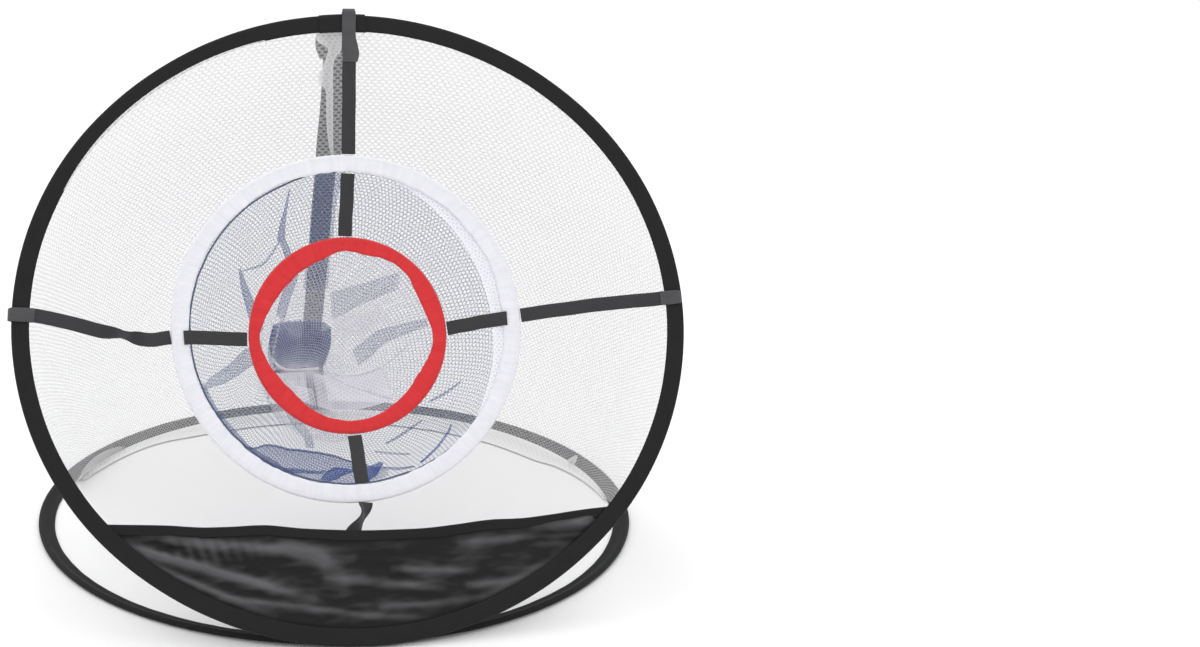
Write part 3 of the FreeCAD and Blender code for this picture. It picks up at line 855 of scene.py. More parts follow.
def strap(name, stations, pitch, shape=None):
    """A webbing strap of the front frame, from its stations in the hoop's flat frame. pitch is the
    length of its mesh's faces."""
    columns = max(4, round(Route(stations).length / pitch))
    piece = laid_strip(name, stations, STRAP_WIDTH, (columns, 4), WEBBING_THICKNESS, shape)
    stand_up(piece)
    black_webbing.put_on(piece)
    return piece


# %% [markdown]
# Three straps end in a loop that goes round the front hoop and is sewn back on itself. The loop is
# loose, because the strap has to slide over the sleeve when the net is twisted small, and the top
# one stands a few millimetres off the hoop.

# %% Loops round the front hoop
def loop_strap(place, degrees, slack, reach, lining):
    """slack is how far the loop stands off the hoop, reach the length of its sewn end past the tape,
    and lining the thickness of what it goes round besides the sleeve."""
    play = 0.3 + lining
    half = HOOP["half"] + play + 0.6
    tail = HOOP["width"] + play
    nose = HOOP["half"] - max(slack, play) - 0.3
    end = HOOP["width"] + reach
    outward = heading(math.radians(degrees))
    across = Vector((-outward.y, outward.x, 0.0))
    edge = front(degrees)
    profile = [(end, SEWN + 0.6), (tail + 4, SEWN + 0.62), (tail, half - 0.9)]
    profile += [(tail - 3.5, half - 0.1), (7.0, half)]
    for k in range(7):
        bend = math.pi / 2 - math.pi * k / 6
        profile.append((nose + half * (1 - math.cos(bend)) - half * 0.1, half * math.sin(bend)))
    profile += [(6.5, -half * 0.75), (9.0, -0.6), (tail - 2, 0.0)]
    profile += [(tail + 4, SEWN - 0.55), (end, SEWN - 0.6)]
    stations = [(edge - outward * inset + Vector((0, 0, z)), across) for inset, z in profile]
    nose_at = Route(stations).length / 2

    def rumple(s, side):
        """The strap narrows at the nose, and a long sewn end spreads to one side."""
        curl = 0.16 * side * math.exp(-((s - nose_at) / 4.5) ** 2)
        swell = 0.25 * (side - 5.0) * math.exp(-((s - 8.0) / 8.0) ** 2) if reach > 20.0 else 0.0
        sway = 0.4 * ripple(s * 0.15, 0.0, degrees)
        return sway - curl + swell, 0.15 * ripple(s * 0.2, side * 0.3, degrees)

    piece = strap(place + "_loop", stations, 1.6, rumple)
    hand_over(piece, loop_webbing, "front_frame", "strap_loop_" + place)
    return piece


TOP_STRAP_AT = 88.2
LEFT_STRAP_AT = 176.0
RIGHT_STRAP_AT = 3.2
TOP_REACH = 25.0
SIDE_REACH = 4.0
top_loop = loop_strap("top", TOP_STRAP_AT, slack=6.6, reach=TOP_REACH, lining=0.8)
loop_strap("left", LEFT_STRAP_AT, slack=4.3, reach=SIDE_REACH, lining=0.0)
loop_strap("right", RIGHT_STRAP_AT, slack=1.0, reach=SIDE_REACH, lining=0.0)
print("top loop is", round(max(v.co.z for v in top_loop.data.vertices) / MM, 1), "mm high")

# %% [markdown]
# The straps that carry the white ring are not bar straight. The top one hangs taut, the right one
# rises to the hoop, and the left one is slack: it droops and tips almost onto its edge on its way.

# %% Straps from the hoop to the white ring
RING_TOP = MIDDLE["half"] - MIDDLE["tail"] / 2
TIPPED_OVER = math.radians(68.0)
TIP_STEPS = (0, 0.1, 0.45, 1, 0.1, 0)


def sew_between(piece, start, end, node):
    """Moves a strap's place into its mesh and hides the solid that it replaces. It works out where
    its two sewn ends lie, but nothing uses that.
    """
    leaned(start)
    leaned(end)
    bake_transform(piece)
    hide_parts(node)


def level_across(start, end):
    """The way across a strap from start to end, level with the hoop's frame."""
    along = (end - start).normalized()
    return Vector((-along.y, along.x, 0.0))


def outer_strap(place, degrees, reach, ring_degrees, bow, turn_over=None, wander=0.25):
    """bow is how far the strap lies off a straight line at even steps of its way, in millimetres.
    turn_over says where it tips over and back, as the shares of its way where that starts and ends."""
    start = front(degrees, HOOP["width"] + reach - 0.5, SEWN)
    end = on_ring(MIDDLE_CENTRE, MIDDLE_RADIUS + 0.3, ring_degrees, RING_TOP)
    across = level_across(start, end)
    stations = []
    for step in range(21):
        f = step / 20
        sag = value_through(bow, f * (len(bow) - 1))
        tilt = 0.0
        if turn_over:
            first, last = turn_over
            way = min(1.0, max(0.0, (f - first) / (last - first)))
            tilt = TIPPED_OVER * value_through(TIP_STEPS, 5 * way)
        side = across * math.cos(tilt) + Vector((0, 0, math.sin(tilt)))
        stations.append((start.lerp(end, f) + across * sag, side))

    stray = wandering((wander, 0.05, 0.0, degrees), (1.4 * wander, 0.08, 0.1, degrees + 2.0))
    piece = strap(place + "_strap", stations, 2.0, stray)
    sew_between(piece, start, end, "outer_strap_" + place)


LEFT_BOW = (0, -0.4, -1.2, -2.4, -3.6, -3.4, -4.5, -4.0, 0.5)
RIGHT_BOW = (0, -0.6, -1.0, -0.6, 0)
outer_strap("top", TOP_STRAP_AT, TOP_REACH, 86.9, (0, 0))
outer_strap("left", LEFT_STRAP_AT, SIDE_REACH, 181.6, LEFT_BOW, turn_over=(0.30, 0.92), wander=0.4)
outer_strap("right", RIGHT_STRAP_AT, SIDE_REACH, 1.9, RIGHT_BOW, wander=0.35)

# %% [markdown]
# The short strap under the white ring has half a turn in it before it goes down behind the pocket's
# hem.

# %% Twisted strap at the bottom
CROWN_REACH = 236.0
CROWN_HEIGHT = 12.0
CROWN_BASE = -0.35
LOW_STRAP_FOOT = (-11.0, -166.0)


def dome(x, y):
    """Height of the back of the pocket's cloth above the hoop's plane."""
    radius = (CROWN_REACH ** 2 + CROWN_HEIGHT ** 2) / (2 * CROWN_HEIGHT)
    return CROWN_BASE + CROWN_HEIGHT - radius + math.sqrt(radius ** 2 - x ** 2 - y ** 2)


foot = Vector((*LOW_STRAP_FOOT, dome(*LOW_STRAP_FOOT) - 1.1))
knot_start = on_ring(MIDDLE_CENTRE, MIDDLE_RADIUS + 0.2, -86.6, RING_TOP)
low_stations = []
for k in range(9):
    f = k / 8
    twist = math.radians(8 - 88 * math.sin(math.pi * min(1.0, f * 1.12)) * (1 - f * 0.3))
    side = Vector((math.cos(twist), 0.0, math.sin(twist)))
    curl = Vector((3.0 * math.sin(f * math.pi), 0.0, 1.8 * math.sin(f * math.pi)))
    low_stations.append((knot_start.lerp(foot, f) + curl, side))
low_strap = strap("low_strap", low_stations, 1.5)
sew_between(low_strap, knot_start, foot, "outer_strap_bottom")

# %% [markdown]
# Four more straps carry the red ring inside the white one. They slope back, because the red ring
# hangs a centimetre behind it. Two of them are sewn on over the white tape, and two just inside it.

# %% Straps from the white ring to the red ring
INNER_TOP = INNER["half"] - INNER["tail"] / 2


def inner_strap(place, outer_degrees, inner_degrees, inset):
    """inset is where the strap starts, in from the white ring's outer edge."""
    over_tape = MIDDLE["half"] + 0.75 if inset < MIDDLE["width"] else RING_TOP + 0.4
    start = on_ring(MIDDLE_CENTRE, MIDDLE_RADIUS - inset, outer_degrees, over_tape)
    off_tape = on_ring(MIDDLE_CENTRE, MIDDLE_RADIUS - MIDDLE["width"] - 1.5, outer_degrees, RING_TOP + 0.6)
    end = on_ring(INNER_CENTRE, INNER_RADIUS + 0.4, inner_degrees, INNER_TOP)
    across = level_across(start, end)
    stations = [(start, across)] if inset < MIDDLE["width"] else []
    stations += [(off_tape.lerp(end, k / 4), across) for k in range(5)]
    seed = outer_degrees * 0.1
    stray = wandering((0.4, 0.07, 0.0, seed), (0.45, 0.08, 0.15, seed + 4))
    piece = strap("ring_strap_" + place, stations, 2.5, stray)
    sew_between(piece, start, end, "inner_strap_" + place)


inner_strap("top", 87.0, 89.0, inset=15.5)
inner_strap("left", 181.9, 180.4, inset=10.0)
inner_strap("right", 1.1, 2.0, inset=11.0)
inner_strap("bottom", -87.2, -88.8, inset=15.5)

# %% [markdown]
# The front sleeve's two ends meet at the top under a patch of the same tape.

# %% Patch over the sleeve's ends
PATCH_AT = 89.3


def patch_outline():
    """Section of the patch round the sleeve: distance in from the outer edge, and height."""
    half, width = HOOP["half"] + 0.45, HOOP["width"]
    spots = [(width + 0.5, SEWN + 0.3), (width + 0.1, half - 0.25), (width - 1.5, half), (8.0, half)]
    for k in range(7):
        bend = math.pi / 2 - math.radians(214) * k / 6
        spots.append((HOOP["half"] - half * math.cos(bend), half * math.sin(bend)))
    spots.append((7.6, 0.2))
    return spots


patch_route = Route([(front(PATCH_AT, *spot), Vector((1.0, 0.0, 0.0))) for spot in patch_outline()])
patch = cut_strip("sleeve_patch", patch_route.length, 37.0, 40, 24)
lay(patch, patch_route, lambda s, side: (0.0, 0.12 * ripple(s * 0.3, side * 0.2, 3.0)))


def bend_to_hoop(point, index):
    """The hoop curves away under the straight patch, so its points follow the arc."""
    aside = (point.x - front(PATCH_AT).x * MM) / MM
    drop = TOP_ARC_RADIUS - math.sqrt(TOP_ARC_RADIUS ** 2 - aside ** 2)
    return point - Vector((0.0, drop * MM, 0.0))


move_points(patch, bend_to_hoop)
thicken(patch, 0.7, edge=0.2)
stand_up(patch)
hand_over(patch, black_tape, "front_frame", "front_sleeve_joint")

# %% [markdown]
# Netting that is too long for its place lies in pleats: it runs forward, back and forward again, so
# that three layers lie on each other. A pleat is laid on its surface between two edges. Its netting
# crowds towards both edges, where it turns back, and the mesh keeps how close it lies.

# %% Pleats
def lay_pleat(place, edges, lift, crowd, rows=40):
    """place(a, b) gives a point and the way off the surface there, in millimetres. Each edge is a
    list of such places, and the two have the same number of them."""
    near, far = edges
    last = len(near) - 1
    piece = unit_grid("pleat", 8, rows)
    flat = [vertex.co.copy() for vertex in piece.data.vertices]
    widths = {}
    travelled = {}
    previous = None
    for y in sorted({round(point.y, 5) for point in flat}):
        a, b = curve_through(near, y * last), curve_through(far, y * last)
        middle = place(*a.lerp(b, 0.5))[0]
        widths[y] = (place(*a)[0] - place(*b)[0]).length
        travelled[y] = travelled[previous[0]] + (middle - previous[1]).length if previous else 0.0
        previous = (y, middle)

    def rest(point, index):
        a, b = curve_through(near, point.y * last), curve_through(far, point.y * last)
        f = 0.5 - 0.5 * math.cos(math.pi * point.x)
        spot, off = place(*a.lerp(b, f))
        return (spot + off * (lift * (0.4 + math.sin(math.pi * f)))) * MM

    def closeness(point):
        return crowd * (0.7 + 0.3 * abs(2 * point.x - 1)) * min(1.0, 12 * point.y * (1 - point.y) + 0.2)

    move_points(piece, rest)
    crowding(piece, [closeness(point) for point in flat])
    layer = cloth_layer(piece)
    for loop in piece.data.loops:
        point = flat[loop.vertex_index]
        y = round(point.y, 5)
        layer.data[loop.index].uv = (1.3 * (point.x - 0.5) * widths[y] * MM, travelled[y] * MM)
    return piece


# %% [markdown]
# The net wall is one long piece of netting, sewn to the front hoop along its upper edge and to the
# base hoop along its lower edge. Pulled between two curves it is a ruled sheet, so each column of
# the flat grid is laid from a point of the lower edge to its partner on the upper one. Faint folds
# run up and down where the net isn't quite even.

# %% Net wall
HEAD_ANGLES = [218.23, 134.76, 45.24, -40.5]
FOOT_ANGLES = [161.0, 120.0, 60.0, -1.0]
HEAD_LENGTH = 925.0
FOOT_LENGTH = 689.0


def wall_edges(share):
    """The two sewn edges of the wall at a share of its length."""
    k = min(2, int(share * 3))
    f = share * 3 - k
    head = HEAD_ANGLES[k] + (HEAD_ANGLES[k + 1] - HEAD_ANGLES[k]) * f
    low = FOOT_ANGLES[k] + (FOOT_ANGLES[k + 1] - FOOT_ANGLES[k]) * f
    foot_point = on_arcs(BASE_ARCS, low, HOOP["width"] + 0.3) + Vector((0, 0, 0.3))
    return foot_point * MM, leaned(front(head, NET_INSET, 0.65))


def wall_fold(share, rise):
    """How far the net leans in at a place, in millimetres: long soft folds, none at the seams."""
    fold = 0.5 + 0.5 * ripple(share * 34 + rise * 1.5, rise * 1.2, 4.0)
    fine = 0.5 + 0.5 * ripple(share * 90 - rise * 2.0, rise * 2.0, 9.0)
    free = math.sin(math.pi * rise) ** 0.6 if 0 < rise < 1 else 0.0
    return free * (1.6 * fold + 0.5 * fine)


def on_wall(share, rise):
    """A point of the wall in millimetres, and the way inwards there."""
    low, high = wall_edges(share)
    spot = low.lerp(high, rise)
    inward = (Vector((0.0, 0.0, 0.1)) - spot).normalized()
    return spot / MM + inward * wall_fold(share, rise), inward


wall = unit_grid("wall", 330, 44)
wall_layer = cloth_layer(wall)
for loop in wall.data.loops:
    share, rise, _ = wall.data.vertices[loop.vertex_index].co
    low, high = wall_edges(share)
    around = (share - 0.5) * (FOOT_LENGTH + (HEAD_LENGTH - FOOT_LENGTH) * rise)
    wall_layer.data[loop.index].uv = (around * MM, rise * (high - low).length)
crowding(wall, [0.0] * len(wall.data.vertices))
move_points(wall, lambda p, i: on_wall(p.x, p.y)[0] * MM)
print("wall points:", len(wall.data.vertices))

# %% [markdown]
# The wall doesn't hang clean. It is bunched in a long point over the strap at the back and gathered
# low at the left, and one pleat crosses the base on the right. Its seam allowance lies on the ground
# inside the base hoop, and at the upper left its cut edge looks out over the front sleeve.

# %% Pleats and loose edges of the wall
def on_ground(degrees, radius):
    return on_ring(Vector(), radius, degrees, 0.4), UP


def on_front_sleeve(degrees, inset):
    return leaned(front(degrees, inset, HOOP["half"] + 0.1)) / MM, to_player


BUNCH_LEFT = [
    (0.486, 0.998), (0.487, 0.972), (0.4942, 0.9555), (0.4933, 0.934), (0.4913, 0.913), (0.4891, 0.900),
    (0.4895, 0.880), (0.4942, 0.8655), (0.4954, 0.838), (0.4964, 0.793), (0.4989, 0.745), (0.5021, 0.707),
]
BUNCH_RIGHT = [
    (0.5028, 0.998), (0.5031, 0.970), (0.503, 0.949), (0.4996, 0.9335), (0.4987, 0.912), (0.4991, 0.8985),
    (0.4993, 0.8786), (0.4998, 0.865), (0.5004, 0.838), (0.5015, 0.792), (0.5026, 0.745), (0.5041, 0.707),
]
WALL_PLEATS = [
    # first edge, second edge, how close the netting lies
    (BUNCH_LEFT, BUNCH_RIGHT, 1.2),
    ([(0.02, 0.0), (0.08, 0.0), (0.13, 0.0), (0.185, 0.0)],
     [(0.02, 0.17), (0.08, 0.12), (0.13, 0.08), (0.18, 0.03)], 0.6),
    ([(0.05, 0.02), (0.09, 0.03), (0.14, 0.02)], [(0.05, 0.06), (0.09, 0.055), (0.14, 0.035)], 0.6),
    ([(0.876, 0.0), (0.878, 0.04), (0.881, 0.09)], [(0.892, 0.0), (0.89, 0.04), (0.885, 0.09)], 1.4),
]
wall_pleats = [lay_pleat(on_wall, edges, 1.2, crowd) for *edges, crowd in WALL_PLEATS]
GROUND_LINE = [
    (158, 237), (149, 233.5), (132, 229), (119, 218), (100, 212), (80, 210), (60, 210), (44, 213), (27, 217),
    (19.6, 227), (8, 236), (-1, 241),
]
ground_edges = ([(degrees, BASE_RADIUS - 13.6) for degrees, _ in GROUND_LINE], GROUND_LINE)
wall_pleats.append(lay_pleat(on_ground, ground_edges, 1.3, 1.6, rows=200))
cut_edges = (
    [(150, 13.2), (135, 12.0), (118, 12.2), (103, 13.0)],
    [(150, 15.5), (135, 15.5), (118, 15.5), (103, 15.0)],
)
wall_pleats.append(lay_pleat(on_front_sleeve, cut_edges, 0.3, 1.0, rows=120))
join_to(wall, wall_pleats)

# %% [markdown]
# When the net is packed, the front hoop folds down over the base and the wall crumples between
# them. One sheet can't follow both hoops, so it is cut along the plane halfway between them. Each
# half rides with its own hoop.

# %% Cut at the halfway plane
HALFWAY = (math.pi / 2 - LEAN) / 2
HALFWAY_NORMAL = Vector((0.0, -math.sin(HALFWAY), math.cos(HALFWAY)))


def keep_half(piece, name, side):
    """A copy of a piece cut at the halfway plane: side 1 keeps what lies above it."""
    half = piece.copy()
    half.data = piece.data.copy()
    half.name = name
    half.data.name = name
    bpy.context.scene.collection.objects.link(half)
    pick(half)
    bpy.ops.object.mode_set(mode="EDIT")
    bpy.ops.mesh.select_all(action="SELECT")
    bpy.ops.mesh.bisect(plane_co=HINGE, plane_no=HALFWAY_NORMAL, clear_inner=side > 0, clear_outer=side < 0)
    bpy.ops.object.mode_set(mode="OBJECT")
    return half


def ride_halves(piece, name, node, finish):
    """Cuts a piece in two, and lets each half ride with its own hoop."""
    upper = keep_half(piece, name + "_upper", 1)
    lower = keep_half(piece, name + "_lower", -1)
    bpy.data.objects.remove(piece)
    for half, body, axis in ((upper, "front_frame", to_player), (lower, "base", UP)):
        smooth(half, 60.0)
        hand_over(half, finish, body, node + half.name.removeprefix(name))
        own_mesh(half)
    return upper, lower


wall_halves = ride_halves(wall, "wall_net", "net_wall", wall_net)
for half, length, sleeve in zip(wall_halves, (1.05, 0.80), ("front_hoop_sleeve", "base_hoop_sleeve")):
    print(half.name, "area:", round(cloth_area(half), 3))

# %% [markdown]
# A wide webbing strap runs down the outside of the wall at the back. Its upper end is folded back
# on itself, which shows through the net as a dark lump, and a narrow tail hangs beside it.

# %% Rear strap
HEAD = leaned(front(90.0, NET_INSET)) / MM
FOOT = Vector((0.0, BASE_RADIUS - HOOP["width"] - 0.3, 0.3))
REAR_WIDTH = 18.0
spine = (FOOT - HEAD).normalized()
outward = Vector((0.0, -spine.z, spine.y))
sideways = Vector((1, 0, 0))
SPINE_LENGTH = (FOOT - HEAD).length


def on_spine(distance, x, out):
    """A place beside the strap's line: distance down from the hoop, x across and out from the net."""
    return HEAD + spine * distance + outward * out + Vector((x, 0, 0))


REAR_PLACES = (
    # share of the way down, and how far to the right
    (0.014, -1.5), (0.15, -0.8), (0.3, -1.8), (0.45, -2.5),
    (0.62, -2.6), (0.78, -3.0), (0.9, 3.0), (0.992, 10.0),
)
rear_stations = [(on_spine(SPINE_LENGTH * share, x, 1.0), sideways) for share, x in REAR_PLACES]
stray = wandering((0.5, 0.02, 0.0, 2.0), (0.3, 0.05, 0.08, 7.0), one_side=True)
rear = laid_strip("rear", rear_stations, REAR_WIDTH, (110, 6), WEBBING_THICKNESS, stray)
ride_halves(rear, "rear_webbing", "rear_strap", black_webbing)

FOLD_PLACES = (
    # distance down from the hoop, and out from the net
    (9.0, 2.4), (24.0, 2.5), (36.0, 3.2), (40.5, 5.0), (37.0, 6.8), (26.0, 6.6), (12.0, 4.2)
)
FOLD_ASIDE = -7.6
fold_stations = [(on_spine(distance, FOLD_ASIDE, out), Vector((1, 0, 0.03))) for distance, out in FOLD_PLACES]
fold_nose = Route(fold_stations).length / 2


def round_off(s, side):
    """Narrows the strap where it turns back, so that the lump has round corners."""
    return -0.45 * side * math.exp(-((s - fold_nose) / 9.0) ** 2), 0.3 * ripple(s * 0.1, side * 0.2, 5.0)


rear_fold = laid_strip(
    "rear_strap_folded_end", fold_stations, REAR_WIDTH, (36, 6), WEBBING_THICKNESS, round_off
)
TAIL_PLACES = ((12.0, 6.8), (40.0, 7.0), (80.0, 6.6), (120.0, 6.0), (162.0, 5.6))
tail_stations = [(on_spine(distance, x, 2.6), sideways) for distance, x in TAIL_PLACES]
stray = wandering((0.3, 0.03, 0.0, 8.0), (0.3, 0.05, 0.1, 6.0), one_side=True)
rear_tail = laid_strip("rear_strap_tail", tail_stations, STRAP_WIDTH, (60, 4), WEBBING_THICKNESS, stray)
join_to(rear_fold, [rear_tail])
hand_over(rear_fold, black_webbing, "front_frame", "rear_strap_fold")
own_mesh(rear_fold)

# %% [markdown]
# The pocket's cloth is cut a little too large, so it doesn't lie flat. It is held along the hoop
# and the hem, crowns forward between them, and drags in folds that run down from the left corner.

# %% Pocket cloth
HEM_INSET = 17.4
HEM_SAG = 10.0
HEM_LEFT = front(222.3, HEM_INSET)
HEM_RIGHT = front(315.3, HEM_INSET)
HEM_MIDDLE = (HEM_LEFT + HEM_RIGHT) / 2 - Vector((0.0, HEM_SAG, 0.0))
LIFTS_FROM = -200.0
LIFT_STEP = 25.0
HEM_LIFTS = [0.5, 2.0, 3.1, 2.9, 4.4, 6.1, 4.0, 2.7, 1.7, 1.5, 1.6, 3.1, 4.6, 3.5, 4.1, 4.9, 4.5]


def hem_line(x):
    """Height of the hem's upper edge at x: the parabola through its three points, and how far the
    slack cloth stands above it at every 25 mm."""
    (x0, y0), (x1, y1), (x2, y2) = HEM_LEFT.xy, HEM_MIDDLE.xy, HEM_RIGHT.xy
    a = y0 * (x - x1) * (x - x2) / ((x0 - x1) * (x0 - x2))
    b = y1 * (x - x0) * (x - x2) / ((x1 - x0) * (x1 - x2))
    c = y2 * (x - x0) * (x - x1) / ((x2 - x0) * (x2 - x1))
    place = min(len(HEM_LIFTS) - 1, max(0.0, (x - LIFTS_FROM) / LIFT_STEP))
    return a + b + c + value_through(HEM_LIFTS, place)


def hoop_floor(x, inset):
    """The lowest point of the front hoop at x, at this distance in from its outer edge."""
    low = 180.0
    for k in range(721):
        degrees = 180 + k * 0.25
        spot = front(degrees, inset)
        if abs(spot.x - x) < 0.9 and spot.y < low:
            low = spot.y
    return low


DRAGS = [
    # start, end, width, height
    ((-190, -163), (-40, -212), 4.0, 5.0),
    ((-182, -172), (-70, -225), 3.0, 3.4),
    ((-150, -162), (-10, -180), 5.0, 3.6),
    ((-62, -168), (-20, -190), 6.0, 4.5),
    ((-110, -208), (10, -228), 3.0, 2.8),
    ((-10, -226), (52, -231), 2.6, 2.6),
    ((76, -174), (132, -172), 3.5, 3.0),
    ((22, -192), (82, -196), 3.0, 2.8),
    ((80, -207), (140, -204), 3.0, 3.0),
    ((12, -221), (100, -217), 2.6, 2.6),
    ((125, -160), (196, -160), 6.0, 4.0),
    ((90, -218), (185, -176), 4.0, 3.2),
    ((-30, -197), (60, -208), 3.5, 2.6),
]


def drag_folds(x, y):
    """How far the cloth's folds stand up at a place."""
    rise = 0.0
    for (x0, y0), (x1, y1), width, height in DRAGS:
        start, end, spot = Vector((x0, y0)), Vector((x1, y1)), Vector((x, y))
        span = end - start
        f = (spot - start).dot(span) / span.length_squared
        away = (spot - start - span * min(max(f, 0.0), 1.0)).length
        fade = math.exp(-max(0.0, abs(f - 0.45) - 0.3) * 5)
        rise += height * fade * math.exp(-(away / width) ** 2)
    gathers = max(0.0, 1.0 - abs(x + 120.0) / 60.0) * max(0.0, 1.0 - abs(y + 172.0) / 16.0)
    rise += 0.8 * gathers * math.sin(x * 0.7 + y * 0.25)
    return rise + 1.4 * ripple(x * 0.03, y * 0.13, 3.0) + 0.8 * ripple(x * 0.09, y * 0.3, 5.0)


PANEL_LEFT = -204.0
PANEL_RIGHT = 208.0
PANEL_INSET = 10.4
HEM_WIDTH = 8.0
panel = unit_grid("pocket_cloth", 300, 64)
floors = {}
ridges = []


def drape_panel(point, index):
    """Lays the cloth between the hoop and the hem's middle, and notes where its ridges are, which get a
    painted sheen.
    """
    x = PANEL_LEFT + (PANEL_RIGHT - PANEL_LEFT) * point.x
    key = round(x, 3)
    if key not in floors:
        floors[key] = hoop_floor(x, PANEL_INSET)
    low = floors[key]
    high = max(low + 2.0, hem_line(x) - HEM_WIDTH / 2)
    y = low + (high - low) * point.y
    free = min(1.0, 6.0 * point.y * (1 - point.y)) * min(1.0, 12 * point.x * (1 - point.x))
    inside = min(1.0, max(0.0, (y - low - 3.0) / 12.0))
    rise = drag_folds(x, y)
    # How high a ridge stands sets how much painted sheen its colour gets.
    ridges.append(min(1.0, max(0.0, rise / 4.0)) * free)
    return Vector((x, y, dome(x, y) + 0.5 + rise * free * inside)) * MM


move_points(panel, drape_panel)
flat_map(panel)
panel.data.attributes.new("ridge", "FLOAT", "POINT").data.foreach_set("value", ridges)
finish_with(panel, "SOLIDIFY", thickness=0.6 * MM, offset=0.0)
smooth(panel, 60.0)
stand_up(panel)
hand_over(panel, pocket_cloth, "front_frame", "pocket_panel")

# %% Doubled hem of the pocket
HEM_FROM = -198.0
HEM_SPAN = 401.0
hem_stations = []
for k in range(33):
    x = HEM_FROM + HEM_SPAN * k / 32
    y = hem_line(x) - HEM_WIDTH / 2
    slope = (hem_line(x + 1) - hem_line(x - 1)) / 2
    hem_stations.append((Vector((x, y, dome(x, y) + 1.1)), Vector((-slope, 1.0, 0.05))))


def sway_hem(s, side):
    """The lower edge wanders, and the whole hem is a little uneven."""
    return 0.9 * ripple(s * 0.04, 0.0, 7.0) * (side < 0), 0.4 * ripple(s * 0.05, side * 0.1, 2.0)


hem = laid_strip("pocket_hem_fold", hem_stations, HEM_WIDTH, (170, 6), 1.8, sway_hem, edge=0.8)
stand_up(hem)
hand_over(hem, pocket_cloth, "front_frame", "pocket_hem")

# %% [markdown]
# Each bag is a tube of netting whose mouth is sewn to its ring and whose end is sewn flat, low and
# to the left. Gravity pulls its lower side into a shelf, and the netting that is too long lies in
# pleats that run from the ring to the flat end. The tube is extruded station by station and then
# let sag, and the blue bag's uneven tail turns up again past the sewn end. The pleats are laid on it
# as the photograph shows them and become part of it.

# %% How a bag is drawn
TURN_MM = 1.5
SHARE_MM = 165.0


def bag_spot(bag, degrees, share):
    """A point of a bag's smooth shape. Share 0 is the mouth and 1 the sewn end."""
    depth, shift, drop, wide, high = curve_through(bag["stations"], share * bag["steps"])
    turn = math.radians(degrees)
    x = shift + bag["mouth"] * wide * math.cos(turn)
    y = bag["mouth"] * high * math.sin(turn) - drop
    y += bag["curl"] * min(1.0, share) ** 6 * max(0.0, -math.cos(turn)) ** 3
    return bag["centre"] + Vector((x, y, bag["front"] - depth))


def on_bag(bag, degrees, share):
    """A point of a bag as it sags, in millimetres, and the way inwards there."""
    whole = (len(bag["stations"]) - 1) / bag["steps"]
    share = min(max(share, 0.0), whole)
    spot = bag_spot(bag, degrees, share)
    side = bag_spot(bag, degrees + 1.0, share) - spot
    down = bag_spot(bag, degrees, min(share + 0.01, whole)) - bag_spot(bag, degrees, max(share - 0.01, 0.0))
    inward = side.cross(down).normalized()
    free = math.sin(math.pi * min(1.0, share)) ** 0.5 if 0.0 < share < 1.0 else 0.0
    tail = min(1.0, max(0.0, share - 0.95) * 8.0)
    around = heading(math.radians(degrees))
    slow = noise.noise(around * 4.6 + Vector((0.0, 0.0, share * 1.5)))
    quick = noise.noise(around * 11.5 + Vector((0.0, 0.0, 8.0 + share * 4.0)))
    spot += Vector((3.5 * slow, 2.5 * quick, 0.0)) * tail
    return spot - inward * ((free * (0.6 + share) + 0.5 * tail) * (1.4 * slow + 0.8 * quick)), inward


def knit_bag(name, bag, sides, rows):
    """The bag's tube, one extrusion and one scaling for each row."""
    pivot = bag["centre"] + Vector((0, 0, bag["front"]))
    bpy.ops.object.select_all(action="DESELECT")
    bpy.ops.mesh.primitive_circle_add(vertices=sides, radius=bag["mouth"] * MM)
    piece = settle(name)
    move_points(piece, lambda p, i: p + pivot * MM)
    last = len(bag["stations"]) - 1
    pick(piece)
    bpy.ops.object.mode_set(mode="EDIT")
    bpy.ops.mesh.select_all(action="SELECT")
    previous = Vector(bag["stations"][0])
    for row in range(1, rows + 1):
        depth, shift, drop, wide, high = station = curve_through(bag["stations"], last * row / rows)
        step = Vector((shift - previous[1], previous[2] - drop, previous[0] - depth)) * MM
        bpy.ops.mesh.extrude_region_move(TRANSFORM_OT_translate={"value": step})
        scale = (wide / previous[3], high / previous[4], 1.0)
        middle = (pivot + Vector((shift, -drop, -depth))) * MM
        bpy.ops.transform.resize(value=scale, center_override=middle)
        previous = station
    bpy.ops.object.mode_set(mode="OBJECT")
    whole = last / bag["steps"]
    column_width = bag["mouth"] * MM * math.tau * 0.85 / sides
    layer = cloth_layer(piece)
    for face in piece.data.polygons:
        first = piece.data.loops[face.loop_indices[0]].vertex_index % sides
        for index in face.loop_indices:
            row, column = divmod(piece.data.loops[index].vertex_index, sides)
            drawn_out = 1.0 - 0.55 * max(0.0, math.cos(math.tau * column / sides - math.radians(225.0)))
            column += sides * round((first - column) / sides)
            down = (row / rows * whole) ** 1.25 * bag["length"] * drawn_out
            layer.data[index].uv = (column * column_width, down * MM)

    def sag(point, index):
        row, column = divmod(index, sides)
        return on_bag(bag, column * 360.0 / sides, row / rows * whole)[0] * MM

    move_points(piece, sag)
    crowd = []
    for index, vertex in enumerate(piece.data.vertices):
        closest = bag["closest"] * min(1.0, max(0.0, index // sides / rows * whole - 0.78) / 0.22)
        uneven = 0.9 + 1.3 * ripple(vertex.co.x * 60.0, vertex.co.y * 60.0, 5.0)
        crowd.append(max(0.0, closest * uneven))
    crowding(piece, crowd)
    finish_with(piece, "WELD", merge_threshold=0.00001)
    return piece


